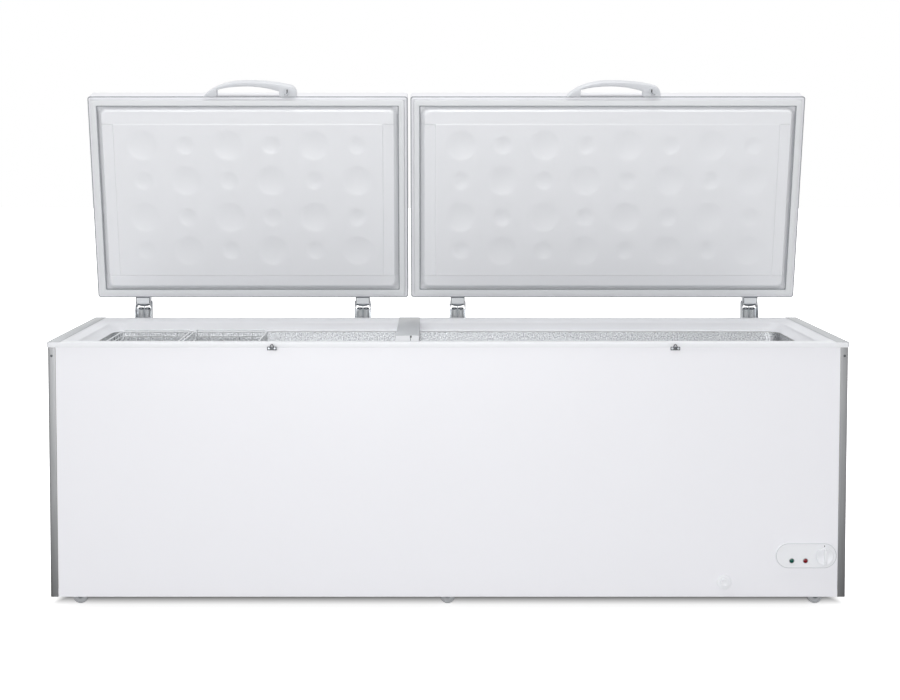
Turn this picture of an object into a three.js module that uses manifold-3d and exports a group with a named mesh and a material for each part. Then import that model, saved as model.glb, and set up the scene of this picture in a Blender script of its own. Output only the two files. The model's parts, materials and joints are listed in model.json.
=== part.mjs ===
// A wide chest freezer on casters, with two lids side by side that stand open.
// Millimetres. +X runs to the right along the front, +Y to the back, +Z up from the floor.
import * as THREE from "three";
import { mergeVertices } from "three/addons/utils/BufferGeometryUtils.js";
import Module from "manifold-3d";

// ---- Cabinet ----
const bodyWidth = 2288; // over the two side panels
const bodyDepth = 672; // over the front and back panels
const rimHeight = 775; // floor to the flat top of the rim
const skirtHeight = 37; // floor to the panels' bottom edges
const baseHeight = 62; // floor to the underside of the base panel
const panelSheet = 1;
const baseSheet = 1.2;
const seat = 0.3; // left between two pieces that touch
const past = 1; // how far a cut runs beyond the face it opens
const weld = 1; // how far joined shapes run into each other
const guardLeg = 22.5;
const guardSheet = 2.5;
const guardProud = 1.5; // how far a corner guard stands off the panels
const guardDrop = 3; // from the rim's lip down to the guard's top
const guardCorner = 6;

// ---- Rim collar: insets run inwards from the lip's outer edge ----
const lipOverhang = 4;
const lipHeight = 15;
const lipCorner = 8;
const rimFlat = 38;
const bevelRun = 22;
const bevelDrop = 10;
const wallLean = 2;
const ledgeDrop = 36; // rim top down to the ledge that the baskets hang on
const ledgeRun = 18;
const ledgeSheet = 2.5;
const collarWall = 3;
const collarCorner = 45;
const pocketDepth = 11.5; // hollow under the rim's flat
const pocketWall = 6;
const stripWidth = 36;
const stripSheet = 0.8;
const stripEdge = 1.5; // from the strip to the lip's outer edge

// ---- Liner, foam and the step over the machine compartment ----
const linerSheet = 1;
const linerFlange = 14;
const floorFoam = 70;
const stepWidth = 233;
const stepHeight = 230;
const stepFoam = 50;

// ---- Divider between the two lid openings ----
const dividerX = -118;
const dividerWidth = 68;
const dividerHeight = 45;
const dividerCapLength = 126; // bare front end that the metal strip leaves clear

// ---- Lids ----
const lidSplit = 9; // between the two lids
const lidEndInset = 13; // from the lip's end to a lid's outer end
const lidFrontInset = 5; // from the cabinet's front to the lid's front edge
const lidThickness = 75;
const lidLift = 14; // rim top to the lid's underside when closed
const lidRearInset = 3; // from the cabinet's back to the lid's rear edge
const lidCorner = 8;
const lidTopRound = 8;
const lidSkin = 1.2;
const lidFrame = 10; // turned-in edge of the lid's skin
const openAngle = 78; // degrees from closed to standing open
const gasketWidth = 13.5;
const gasketLip = 2.5; // narrowing of the gasket at its sealing edge
const gasketTaper = 3.75; // height over which it narrows
const gasketFit = 0.5; // from the lid's turned-in edge to the gasket
const gasketSqueeze = 0.5; // left over the rim's strips when closed
const plugInset = 30;
const plugDepth = 14;
const plugRun = 11;
const plugCorner = 14;
const plateauStep = 6;
const plateauRun = 4;
const plateauSide = 29; // widths of the flat band round the dimpled plateau
const plateauFront = 48;
const plateauRear = 35;
const lidLinerSheet = 2.5;

// ---- Hinges ----
const hingeInsets = { left: [144, 149.5], right: [152.5, 138] }; // from the lid's ends
const pivotBehind = 30; // pivot behind the cabinet's back
const pivotAbove = 40; // pivot above the rim's top
const channelWidth = 53;
const channelDepth = 42;
const channelDrop = 135; // rim top down to its bottom
const channelSheet = 2;
const earWidth = 18;
const earHeight = 100;
const earDrop = 125; // rim top down to the ears' bottom
const leafWidth = 46;
const leafTop = 35; // leaf plate's top above the pivot
const leafBottom = 20; // leaf plate's bottom below the pivot
const leafEye = 9;
const leafShoulder = 18; // leaf's sides above the pivot
const webClear = 5; // under the leaf's eyes
const pinRadius = 3;
const runningFit = 0.05;
const roundSides = 12;

// ---- Handles and locks ----
const handleShift = { left: 8.25, right: 17.75 }; // bow's middle, right of its lid's middle
const handleLength = 295;
const handleReach = 48;
const handleHeight = 26;
const handleLift = 3; // above the lid's underside
const lockFromEnd = 29; // lock axis from the bow's right end
const lockFromLid = 13.5;
const lockRadius = 9;
const lockRing = 11.5;
const lockRingDrop = 10;
const lockProud = 4; // above the bow
const housingBefore = 25; // lock axis to the housing's left face
const housingAfter = 27; // lock axis to its right face
const keyway = [2, 9, 5]; // width, length and depth
const lockShankRadius = 2.5;
const tongueLength = 13;
const tongueWidth = 4;
const tongueHeight = 3;
const strikeWidth = 28;
const strikeHeight = 9;
const strikeSheet = 2;
const strikeReach = 20;
const strikeTab = 18; // height of the upright tab
const strikeTabWidth = 8;
const strikeDrop = 27; // rim top down to the strike's shelf
const strikeSlotPlay = 1; // round the tongue along X
const strikeSlotDepth = 9.5;
const tonguePlay = 2; // strike's shelf to the tongue under it

// ---- Controls on the front ----
const consoleInset = 113; // its middle from the cabinet's right side
const consoleZ = 158;
const consoleWidth = 176;
const consoleHeight = 74;
const consoleSheet = 6;
const lampShifts = { green_power_lamp: -42, red_alarm_lamp: -2.5 }; // from its middle
const lampZ = 143.6;
const lampRadius = 6.5;
const lampProud = 2;
const knobShift = 52;
const knobZ = 157;
const knobRadius = 25;
const knobDisc = 8;
const knobGrip = 9;
const knobGripWidth = 11;
const knobGripLength = 43;
const stemRadius = 4;
const stemLength = 8; // inside the thermostat
const thermostatSize = [50, 40, 40];

// ---- Drain ----
const drainBeforeStep = 39;
const drainZ = 80;
const drainBack = 106; // drain hole behind the front panel
const pipeRadius = 10;
const pipeBore = 7;
const capRadius = 21.5;
const capSheet = 5;
const capEdge = 1.5;
const capBossRadius = 12;
const capBoss = 3;
const capPlug = 12;

// ---- Refrigeration ----
const evaporatorTube = 4; // radius
const evaporatorTurns = 3;
const evaporatorBelowTop = 110; // liner's top down to the coil's top end
const evaporatorAboveStep = 45.4; // step's top up to its bottom end
const evaporatorTail = 135; // its ends stop short of the first and last corner
const condenserTube = 3; // radius
const condenserPasses = 6;
const condenserPitch = 32;
const condenserLength = 500;
const condenserBend = 15; // radius
const condenserInset = 28; // from the right side panel
const compressorRadius = 75;
const compressorHeight = 185;
const compressorWall = 3;
const compressorDome = 52; // rise of the domed top
const compressorTuck = 18; // bottom edge drawn in
const compressorFoot = [174, 105, 3]; // foot plate
const compressorY = 110;
const compressorPort = 4;
const glandInset = 134; // from the cabinet's right side
const glandZ = 120;
const glandRadius = 9;
const glandBore = 5;
const glandFlange = 14; // radius
const glandHead = 4; // off the back panel
const glandInside = 8;
const louvreCount = 6;
const louvreLength = 130;
const louvreHeight = 7;
const louvrePitch = 24;
const louvreBottom = 110;

// ---- Baskets ----
const basketEndGap = 23; // liner's left end to the first basket
const basketGap = 8; // between the baskets
const leftBasketLength = 225;
const rightBasketLength = 238;
const basketWire = 4.5; // the rails that it hangs by
const basketTaper = 0.1; // how much thinner each set of wires is
const basketHeight = 190;
const basketMesh = 84; // wire spacing, at most
const basketHoops = 3;
const basketHang = 71; // rim inset of the rails that rest on the ledge
const basketInset = 90; // rim inset of the basket's front and back

// ---- Casters ----
const casterEndInset = 71; // axle from the cabinet's left and right sides
const casterInset = 70; // wheel axle behind the front panel, and ahead of the back
const wheelRadius = 22;
const wheelWidth = 18;
const casterTrail = 14;
const forkSheet = 2;
const forkPlay = 1;
const forkCrown = 4;
const forkStem = 5;
const forkEye = 7;
const padSize = 60;
const padHeight = 8;
const wheelSides = 18;
const wheelEdge = 2;

const wasm = await Module();
wasm.setup();

const paint = (color, roughness, metalness = 0) =>
  new THREE.MeshStandardMaterial({ color, roughness, metalness });
const whiteSteel = paint(0xeef0f3, 0.3);
const whitePlastic = paint(0xe9ebee, 0.45);
const aluminium = paint(0xb9bcc0, 0.35, 1);
const brushedSteel = paint(0xa4a6aa, 0.35, 1);
const greyStrip = paint(0xb4b6ba, 0.5, 0.4);
const zincSteel = paint(0x9aa0a6, 0.3, 1);
const rubber = paint(0xd9dbde, 0.7);
const foam = paint(0xe2c98a, 0.9);
const blackPaint = paint(0x1b1c1e, 0.4);
const copper = paint(0xb06a3c, 0.35, 1);
const wireCoat = paint(0xf0f1f3, 0.4);
const greenLens = paint(0x0f8f57, 0.2);
const redLens = paint(0xc0202a, 0.2);
const greyPlastic = paint(0x55585c, 0.6);

// A closed geometry as a solid that can be joined and cut.
function solid(geometry) {
  geometry.deleteAttribute("normal");
  geometry.deleteAttribute("uv");
  const merged = mergeVertices(geometry, 1e-4);
  const triVerts = new Uint32Array(merged.index.array);
  const vertProperties = merged.attributes.position.array;
  return new wasm.Manifold(new wasm.Mesh({ numProp: 3, vertProperties, triVerts }));
}

// A solid as a flat-shaded geometry.
function geometryOf(shape) {
  const { vertProperties, triVerts } = shape.getMesh();
  const geometry = new THREE.BufferGeometry();
  geometry.setAttribute("position", new THREE.BufferAttribute(vertProperties, 3));
  geometry.setIndex(new THREE.BufferAttribute(triVerts, 1));
  const flat = geometry.toNonIndexed();
  flat.computeVertexNormals();
  return flat;
}

function place(parent, name, shape, material) {
  const mesh = new THREE.Mesh(geometryOf(shape), material.clone());
  mesh.name = name;
  parent.add(mesh);
}

// Rounds to 1/256 mm, so that faces that should be flush are exactly flush.
const snap = (value) => Math.round(value * 256) / 256;

// A box between two opposite corners, given as ranges.
function block(...ranges) {
  const [[x0, x1], [y0, y1], [z0, z1]] = ranges.map((range) => range.map(snap));
  const geometry = new THREE.BoxGeometry(x1 - x0, y1 - y0, z1 - z0);
  return solid(geometry.translate((x0 + x1) / 2, (y0 + y1) / 2, (z0 + z1) / 2));
}

// A round bar between two points.
function rod(from, to, radius, sides = roundSides) {
  const start = new THREE.Vector3(...from);
  const way = new THREE.Vector3(...to).sub(start);
  const geometry = new THREE.CylinderGeometry(radius, radius, way.length(), sides);
  const turn = new THREE.Quaternion();
  turn.setFromUnitVectors(new THREE.Vector3(0, 1, 0), way.clone().normalize());
  geometry.applyQuaternion(turn).translate(...start.addScaledVector(way, 0.5).toArray());
  return solid(geometry);
}

// The radius to cut so that a faceted hole clears a round bar of this radius.
const boreFor = (radius, play, sides = roundSides) =>
  (radius + play) / Math.cos(Math.PI / sides);

// A turned piece: profile points are [radius, height], stood at a point along an axis.
function turned(profile, at, axis, sides = roundSides, start = 0) {
  const points = profile.map(([r, h]) => new THREE.Vector2(r, h));
  const geometry = new THREE.LatheGeometry(points, sides, start);
  const turn = new THREE.Quaternion();
  turn.setFromUnitVectors(new THREE.Vector3(0, 1, 0), new THREE.Vector3(...axis));
  return solid(geometry.applyQuaternion(turn).translate(...at));
}

// An outline drawn in X and Y, extruded up from z0 to z1.
function upright(shape, [z0, z1], curveSegments = 8) {
  const settings = { depth: z1 - z0, bevelEnabled: false, curveSegments };
  return solid(new THREE.ExtrudeGeometry(shape, settings).translate(0, 0, z0));
}

// An outline drawn in X and Z, extruded forwards from y1 to y0.
function forward(shape, [y0, y1], curveSegments = 8) {
  const settings = { depth: y1 - y0, bevelEnabled: false, curveSegments };
  const geometry = new THREE.ExtrudeGeometry(shape, settings);
  return solid(geometry.rotateX(Math.PI / 2).translate(0, y1, 0));
}

// An outline drawn in Y and Z, extruded along X.
function sideways(shape, [x0, x1], curveSegments = 5) {
  const settings = { depth: x1 - x0, bevelEnabled: false, curveSegments };
  const geometry = new THREE.ExtrudeGeometry(shape, settings);
  const turn = new THREE.Matrix4().makeBasis(
    new THREE.Vector3(0, 1, 0),
    new THREE.Vector3(0, 0, 1),
    new THREE.Vector3(1, 0, 0),
  );
  return solid(geometry.applyMatrix4(turn).translate(x0, 0, 0));
}

// The corner points of a rectangle with round corners, anticlockwise.
function roundedCorners({ x0, x1, y0, y1 }, radius, steps = 3) {
  const centres = [
    [x1 - radius, y1 - radius],
    [x0 + radius, y1 - radius],
    [x0 + radius, y0 + radius],
    [x1 - radius, y0 + radius],
  ];
  return centres.flatMap(([cx, cy], corner) =>
    Array.from({ length: steps + 1 }, (_, i) => {
      const angle = ((corner + i / steps) * Math.PI) / 2;
      return [cx + radius * Math.cos(angle), cy + radius * Math.sin(angle)];
    }),
  );
}

// A solid skinned over round-cornered rectangles [z, rectangle, radius], lowest first.
function stacked(layers) {
  const rings = layers.map(([z, rectangle, radius]) =>
    roundedCorners(rectangle, radius).map(([x, y]) => [x, y, z]),
  );
  const count = rings[0].length;
  const index = [];
  for (let ring = 0; ring + 1 < rings.length; ring++)
    for (let i = 0; i < count; i++) {
      const a = ring * count + i;
      const b = ring * count + ((i + 1) % count);
      index.push(a, b, b + count, a, b + count, a + count);
    }
  const top = (rings.length - 1) * count;
  for (let i = 1; i + 1 < count; i++)
    index.push(0, i + 1, i, top, top + i, top + i + 1);
  const geometry = new THREE.BufferGeometry();
  geometry.setAttribute("position", new THREE.Float32BufferAttribute(rings.flat(2), 3));
  return solid(geometry.setIndex(index));
}

// A path of straight runs joined by quarter circles, sampled only where it bends.
class Route extends THREE.Curve {
  constructor(corners, radius, steps = 4) {
    super();
    const points = corners.map((corner) => new THREE.Vector3(...corner));
    this.stops = [points[0]];
    for (let i = 1; i + 1 < points.length; i++) {
      const before = points[i].clone().sub(points[i - 1]).normalize();
      const after = points[i + 1].clone().sub(points[i]).normalize();
      const start = points[i].clone().addScaledVector(before, -radius);
      for (let k = 0; k <= steps; k++) {
        const angle = (k / steps) * (Math.PI / 2);
        const bend = start.clone().addScaledVector(before, radius * Math.sin(angle));
        this.stops.push(bend.addScaledVector(after, radius * (1 - Math.cos(angle))));
      }
    }
    this.stops.push(points.at(-1));
  }

  getUtoTmapping(u) {
    return u;
  }

  getPoint(t, target = new THREE.Vector3()) {
    const along = THREE.MathUtils.clamp(t, 0, 1) * (this.stops.length - 1);
    const i = Math.min(Math.floor(along), this.stops.length - 2);
    return target.lerpVectors(this.stops[i], this.stops[i + 1], along - i);
  }

  tube(radius, sides) {
    const section = new THREE.Shape();
    for (let i = 0; i < sides; i++) {
      const angle = (i / sides) * 2 * Math.PI;
      const point = [radius * Math.cos(angle), radius * Math.sin(angle)];
      if (i) section.lineTo(...point);
      else section.moveTo(...point);
    }
    const settings = { steps: this.stops.length - 1, extrudePath: this };
    return solid(new THREE.ExtrudeGeometry(section, settings));
  }
}

// ---- Places that several pieces share ----
const halfWidth = bodyWidth / 2;
const halfDepth = bodyDepth / 2;
const lipX = halfWidth + lipOverhang;
const lipY = halfDepth + lipOverhang;
const panelTop = rimHeight - lipHeight - seat;
const bevelInset = rimFlat + bevelRun;
const wallInset = bevelInset + wallLean;
const linerInset = wallInset + ledgeRun;
const ledgeTop = rimHeight - ledgeDrop;
const linerTop = ledgeTop - ledgeSheet - seat;
const baseTop = baseHeight + baseSheet;
const linerFloor = baseTop + seat + floorFoam + seat + linerSheet;
const stepX = lipX - linerInset - stepWidth;
const stepTop = linerFloor + stepHeight;
const compartmentX = stepX + linerSheet + stepFoam;
const compartmentTop = stepTop - linerSheet - stepFoam;
const collarOutside = bevelInset - collarWall;
const skirtCorner = collarCorner + collarWall; // the collar's wall keeps its thickness round the corners
const pivotY = halfDepth + pivotBehind;
const pivotZ = rimHeight + pivotAbove;
const lidBack = halfDepth - lidRearInset;
const lidFront = -halfDepth + lidFrontInset;
const lidBottom = rimHeight + lidLift;
const stripTop = rimHeight + seat + stripSheet;
const frontFace = -halfDepth - seat; // where pieces screwed to the front panel start
const lockY = lidFront - seat - lockFromLid;
const drainX = stepX - drainBeforeStep;
const drainY = -halfDepth + drainBack;
const consoleX = halfWidth - consoleInset;
const knobX = consoleX + knobShift;
const glandX = halfWidth - glandInset;
const casterXs = { left: -halfWidth + casterEndInset, middle: 0, right: halfWidth - casterEndInset };
const far = 2 * bodyWidth; // beyond the whole freezer, for cuts that run right out

// The rectangle at an inset from the lip's outer edge, and its corner radius there.
const inset = (distance) => ({
  x0: -lipX + distance,
  x1: lipX - distance,
  y0: -lipY + distance,
  y1: lipY - distance,
});
const cornerAt = (distance) => collarCorner + linerInset - distance;

const freezer = new THREE.Group();

// ---- Outer panels, base and corner guards ----
const guardX = halfWidth + guardProud;
const guardY = halfDepth + guardProud;
const sideFront = -guardY + guardLeg + seat;
const frontEnd = guardX - guardLeg - seat;
const innerX = halfWidth - panelSheet;
const innerY = halfDepth - panelSheet;
const skirt = [skirtHeight, panelTop];
const drainHole = rod(
  [drainX, -far, drainZ],
  [drainX, drainY, drainZ],
  boreFor(pipeRadius, seat),
);
const stemHole = rod([knobX, -far, knobZ], [knobX, 0, knobZ], boreFor(stemRadius, seat));

const frontPanel = block([-frontEnd, frontEnd], [-halfDepth, -innerY], skirt);
place(freezer, "front_panel", frontPanel.subtract(drainHole).subtract(stemHole), whiteSteel);
const leftPanel = block([-halfWidth, -innerX], [sideFront, halfDepth], skirt);
place(freezer, "left_side_panel", leftPanel, whiteSteel);
let rightPanel = block([innerX, halfWidth], [sideFront, halfDepth], skirt);
for (let i = 0; i < louvreCount; i++) {
  const bottom = louvreBottom + i * louvrePitch;
  const length = [compressorY - louvreLength / 2, compressorY + louvreLength / 2];
  rightPanel = rightPanel.subtract(block([0, far], length, [bottom, bottom + louvreHeight]));
}
place(freezer, "right_side_panel", rightPanel, whiteSteel);

const glandHole = rod(
  [glandX, 0, glandZ],
  [glandX, far, glandZ],
  boreFor(glandRadius, seat),
);
const backEnd = innerX - seat;
const backPanel = block([-backEnd, backEnd], [innerY, halfDepth], skirt);
place(freezer, "back_panel", backPanel.subtract(glandHole), whiteSteel);
const glandProfile = [
  [glandBore, -glandInside],
  [glandRadius, -glandInside],
  [glandRadius, seat],
  [glandFlange, seat],
  [glandFlange, glandHead],
  [glandBore, glandHead],
  [glandBore, -glandInside],
];
place(
  freezer,
  "cord_gland",
  turned(glandProfile, [glandX, halfDepth, glandZ], [0, 1, 0]),
  greyPlastic,
);

const casterY = halfDepth - casterInset;
const casterPlaces = Object.entries(casterXs).flatMap(([side, x]) => [
  { name: `front_${side}`, x, y: -casterY },
  { name: `rear_${side}`, x, y: casterY },
]);
const underX = innerX - seat;
const underY = innerY - seat;
let basePanel = block([-underX, underX], [-underY, underY], [baseHeight, baseTop]);
for (const { x, y } of casterPlaces) {
  const swivelX = x + casterTrail;
  const half = padSize / 2;
  const pad = block(
    [swivelX - half, swivelX + half],
    [y - half, y + half],
    [baseHeight - padHeight, baseHeight],
  );
  basePanel = basePanel.add(pad);
}
for (const { x, y } of casterPlaces) {
  const swivelX = x + casterTrail;
  const hole = boreFor(forkStem, runningFit);
  basePanel = basePanel.subtract(rod([swivelX, y, 0], [swivelX, y, rimHeight], hole));
}
place(freezer, "base_panel", basePanel, zincSteel);

for (const [side, sign] of [["left", -1], ["right", 1]]) {
  const angle = new THREE.Shape();
  angle.moveTo(sign * (guardX - guardLeg), -guardY);
  angle.lineTo(sign * (guardX - guardCorner), -guardY);
  angle.quadraticCurveTo(sign * guardX, -guardY, sign * guardX, -guardY + guardCorner);
  angle.lineTo(sign * guardX, -guardY + guardLeg);
  angle.lineTo(sign * (guardX - guardSheet), -guardY + guardLeg);
  angle.lineTo(sign * (guardX - guardSheet), -guardY + guardSheet);
  angle.lineTo(sign * (guardX - guardLeg), -guardY + guardSheet);
  const height = [skirtHeight, rimHeight - lipHeight - guardDrop];
  place(freezer, `${side}_corner_guard`, upright(angle, height, 4), brushedSteel);
}

// ---- Rim collar, its metal strips and the divider ----
// The way in through the rim, from below the ledge up past the bevel, shrunk by a clearance.
function openingThrough(clear, bottom) {
  const spread = bevelRun / bevelDrop; // how fast the bevel widens above the rim's top
  return stacked([
    [bottom, inset(linerInset + clear), collarCorner],
    [ledgeTop, inset(linerInset + clear), collarCorner],
    [ledgeTop, inset(wallInset + clear), collarCorner],
    [rimHeight - bevelDrop, inset(bevelInset + clear), collarCorner],
    [rimHeight, inset(rimFlat + clear), collarCorner],
    [rimHeight + past, inset(rimFlat + clear - spread * past), collarCorner],
  ]);
}
const lipBottom = rimHeight - lipHeight;
const collar = stacked([
  [lipBottom, inset(0), lipCorner],
  [rimHeight, inset(0), lipCorner],
])
  .add(
    stacked([
      [ledgeTop - ledgeSheet, inset(collarOutside), skirtCorner],
      [lipBottom + weld, inset(collarOutside), skirtCorner],
    ]),
  )
  .subtract(openingThrough(0, linerTop - past));
const pocketTop = lipBottom + pocketDepth;
const pocketInside = rimFlat - collarWall;
const pocket = stacked([
  [lipBottom - past, inset(pocketWall), lipCorner],
  [pocketTop, inset(pocketWall), lipCorner],
]).subtract(
  stacked([
    [lipBottom - 2 * past, inset(pocketInside), collarCorner],
    [pocketTop + past, inset(pocketInside), collarCorner],
  ]),
);
place(freezer, "rim_collar", collar.subtract(pocket), whitePlastic);

const stripZ = [rimHeight + seat, stripTop];
const stripEnd = lipY - stripEdge;
for (const [side, sign] of [["left", -1], ["right", 1]]) {
  const edges = [sign * (lipX - stripEdge), sign * (lipX - stripEdge - stripWidth)];
  const strip = block(edges.sort((a, b) => a - b), [-stripEnd, stripEnd], stripZ);
  place(freezer, `${side}_rim_strip`, strip, greyStrip);
}
const dividerSpan = [dividerX - dividerWidth / 2, dividerX + dividerWidth / 2];
const dividerBox = block(dividerSpan, [-lipY, lipY], [rimHeight - dividerHeight, rimHeight]);
const divider = dividerBox.intersect(openingThrough(seat, rimHeight - 2 * dividerHeight));
place(freezer, "centre_divider", divider, whitePlastic);
const capEnd = -lipY + rimFlat + dividerCapLength;
place(freezer, "divider_strip", block(dividerSpan, [capEnd, stripEnd], stripZ), greyStrip);

// ---- Inner liner and the foam round it ----
const linerOutside = linerInset - linerSheet;
const linerBody = stacked([
  [linerFloor - linerSheet, inset(linerOutside), cornerAt(linerOutside)],
  [linerTop, inset(linerOutside), cornerAt(linerOutside)],
]);
const flangeInset = linerOutside - linerFlange;
const flange = stacked([
  [linerTop - linerSheet, inset(flangeInset), cornerAt(flangeInset)],
  [linerTop, inset(flangeInset), cornerAt(flangeInset)],
]);
const linerSpace = stacked([
  [linerFloor, inset(linerInset), collarCorner],
  [linerTop + past, inset(linerInset), collarCorner],
]).subtract(block([stepX, far], [-far, far], [-far, stepTop]));
const underStep = [-far, stepTop - linerSheet];
const drainDrop = rod(
  [drainX, drainY, drainZ],
  [drainX, drainY, rimHeight],
  boreFor(pipeRadius, seat),
);
const liner = linerBody
  .add(flange)
  .subtract(block([stepX + linerSheet, far], [-far, far], underStep))
  .subtract(linerSpace)
  .subtract(drainDrop);
place(freezer, "inner_liner", liner, aluminium);

const coilSpace = linerOutside - 2 * evaporatorTube - 2 * seat;
const flangeUnder = linerTop - linerSheet - seat;
const skirtSpace = collarOutside - seat;
const hollow = stacked([
  [linerFloor - linerSheet - seat, inset(coilSpace), cornerAt(coilSpace)],
  [flangeUnder, inset(coilSpace), cornerAt(coilSpace)],
])
  .subtract(
    block(
      [stepX + linerSheet + seat, far],
      [-far, far],
      [-far, stepTop - linerSheet - seat],
    ),
  )
  .add(
    stacked([
      [flangeUnder - weld, inset(coilSpace), cornerAt(coilSpace)],
      [flangeUnder, inset(coilSpace), cornerAt(coilSpace)],
      [flangeUnder, inset(skirtSpace), skirtCorner + seat],
      [rimHeight, inset(skirtSpace), skirtCorner + seat],
    ]),
  );
const pipeChannel = rod(
  [drainX, drainY + pipeRadius + seat, drainZ],
  [drainX, -far, drainZ],
  boreFor(pipeRadius, seat),
).add(
  rod(
    [drainX, drainY, drainZ - pipeRadius - seat],
    [drainX, drainY, rimHeight],
    boreFor(pipeRadius, seat),
  ),
);
const insulation = block([-underX, underX], [-underY, underY], [baseTop + seat, panelTop])
  .subtract(hollow)
  .subtract(block([compartmentX, far], [-far, far], [-far, compartmentTop]))
  .subtract(pipeChannel);
place(freezer, "insulation_foam", insulation, foam);

// ---- Drain pipe and its cap ----
const pipe = rod([drainX, drainY + pipeRadius, drainZ], [drainX, -halfDepth, drainZ], pipeRadius)
  .add(
    rod([drainX, drainY, drainZ - pipeRadius], [drainX, drainY, linerFloor], pipeRadius),
  )
  .subtract(
    rod([drainX, drainY + pipeBore, drainZ], [drainX, -far, drainZ], pipeBore),
  )
  .subtract(
    rod([drainX, drainY, drainZ - pipeBore], [drainX, drainY, rimHeight], pipeBore),
  );
place(freezer, "drain_pipe", pipe, greyPlastic);
const plugRadius = pipeBore - seat;
const capProfile = [
  [0, -capPlug],
  [plugRadius, -capPlug],
  [plugRadius, 0],
  [capRadius, 0],
  [capRadius, capSheet - capEdge],
  [capRadius - capEdge, capSheet],
  [capBossRadius, capSheet],
  [capBossRadius - capEdge, capSheet + capBoss],
  [0, capSheet + capBoss],
];
place(
  freezer,
  "drain_cap",
  turned(capProfile, [drainX, frontFace, drainZ], [0, -1, 0], 18),
  whitePlastic,
);

// ---- Console, lamps, thermostat and its knob ----
const consoleRound = consoleHeight / 2;
const consoleStraight = consoleWidth / 2 - consoleRound;
const consoleOutline = new THREE.Shape();
consoleOutline.absarc(
  consoleX + consoleStraight, consoleZ, consoleRound, -Math.PI / 2, Math.PI / 2,
);
consoleOutline.absarc(
  consoleX - consoleStraight, consoleZ, consoleRound, Math.PI / 2, (3 * Math.PI) / 2,
);
const consoleFace = frontFace - consoleSheet;
let consolePlate = forward(consoleOutline, [consoleFace, frontFace], 9).subtract(stemHole);
for (const shift of Object.values(lampShifts)) {
  const x = consoleX + shift;
  const hole = rod([x, -far, lampZ], [x, 0, lampZ], boreFor(lampRadius, seat));
  consolePlate = consolePlate.subtract(hole);
}
place(freezer, "control_console", consolePlate, whitePlastic);
for (const [name, shift] of Object.entries(lampShifts)) {
  const lampProfile = [
    [0, 0],
    [lampRadius, 0],
    [lampRadius, consoleSheet],
    [lampRadius * Math.SQRT1_2, consoleSheet + lampProud * Math.SQRT1_2],
    [0, consoleSheet + lampProud],
  ];
  const lens = turned(lampProfile, [consoleX + shift, frontFace, lampZ], [0, -1, 0]);
  place(freezer, name, lens, name.startsWith("green") ? greenLens : redLens);
}
const [thermostatWidth, thermostatDepth, thermostatHeight] = thermostatSize;
const thermostatFace = -innerY + seat;
const thermostat = block(
  [knobX - thermostatWidth / 2, knobX + thermostatWidth / 2],
  [thermostatFace, thermostatFace + thermostatDepth],
  [knobZ - thermostatHeight / 2, knobZ + thermostatHeight / 2],
).subtract(
  rod(
    [knobX, -far, knobZ],
    [knobX, thermostatFace + stemLength + past, knobZ],
    boreFor(stemRadius, runningFit),
  ),
);
place(freezer, "thermostat", thermostat, greyPlastic);
const knobBack = consoleFace - seat;
const knobFront = knobBack - knobDisc - knobGrip;
const knob = rod([knobX, knobBack, knobZ], [knobX, knobBack - knobDisc, knobZ], knobRadius, 24)
  .add(
    block(
      [knobX - knobGripWidth / 2, knobX + knobGripWidth / 2],
      [knobFront, knobBack],
      [knobZ - knobGripLength / 2, knobZ + knobGripLength / 2],
    ),
  )
  .add(
    rod([knobX, knobBack - weld, knobZ], [knobX, thermostatFace + stemLength, knobZ], stemRadius),
  );
place(freezer, "thermostat_knob", knob, whitePlastic);

// ---- Refrigeration: compressor, condenser and the evaporator round the liner ----
const compressorX = (compartmentX + innerX - condenserInset) / 2;
const compressorBase = baseTop + seat;
const [footLength, footDepth, footThickness] = compressorFoot;
const shellBottom = compressorBase + footThickness - weld;
const shellTop = shellBottom + compressorHeight;
// The welded shell's outline from its port down a quarter ellipse, the barrel and the tuck.
function barrelProfile(wall) {
  const radius = compressorRadius - wall;
  const steps = 4;
  const crown = Array.from({ length: steps + 1 }, (_, i) => {
    const angle = (i / steps) * (Math.PI / 2);
    const across = compressorPort + (radius - compressorPort) * Math.sin(angle);
    return [across, shellTop - wall - compressorDome * (1 - Math.cos(angle))];
  });
  return [
    ...crown,
    [radius, shellBottom + compressorTuck],
    [radius - compressorTuck, shellBottom + wall],
    [0, shellBottom + wall],
  ];
}
const compressorProfile = [
  [compressorPort, shellTop],
  ...barrelProfile(compressorWall),
  ...barrelProfile(0).reverse(),
];
const compressor = turned(compressorProfile, [compressorX, compressorY, 0], [0, 0, 1], 18);
const footPlate = block(
  [compressorX - footLength / 2, compressorX + footLength / 2],
  [compressorY - footDepth / 2, compressorY + footDepth / 2],
  [compressorBase, compressorBase + footThickness],
);
place(freezer, "compressor", compressor.add(footPlate), blackPaint);

const condenserX = innerX - condenserInset;
const condenserZ = baseTop + seat + condenserTube;
const condenserEnds = [-condenserLength / 2, condenserLength / 2];
const condenserCorners = [];
for (let pass = 0; pass < condenserPasses; pass++) {
  const z = condenserZ + pass * condenserPitch;
  const ends = pass % 2 ? [...condenserEnds].reverse() : condenserEnds;
  condenserCorners.push(...ends.map((y) => [condenserX, y, z]));
}
const condenser = new Route(condenserCorners, condenserBend, 2);
place(freezer, "condenser_coil", condenser.tube(condenserTube, 6), blackPaint);

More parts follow.
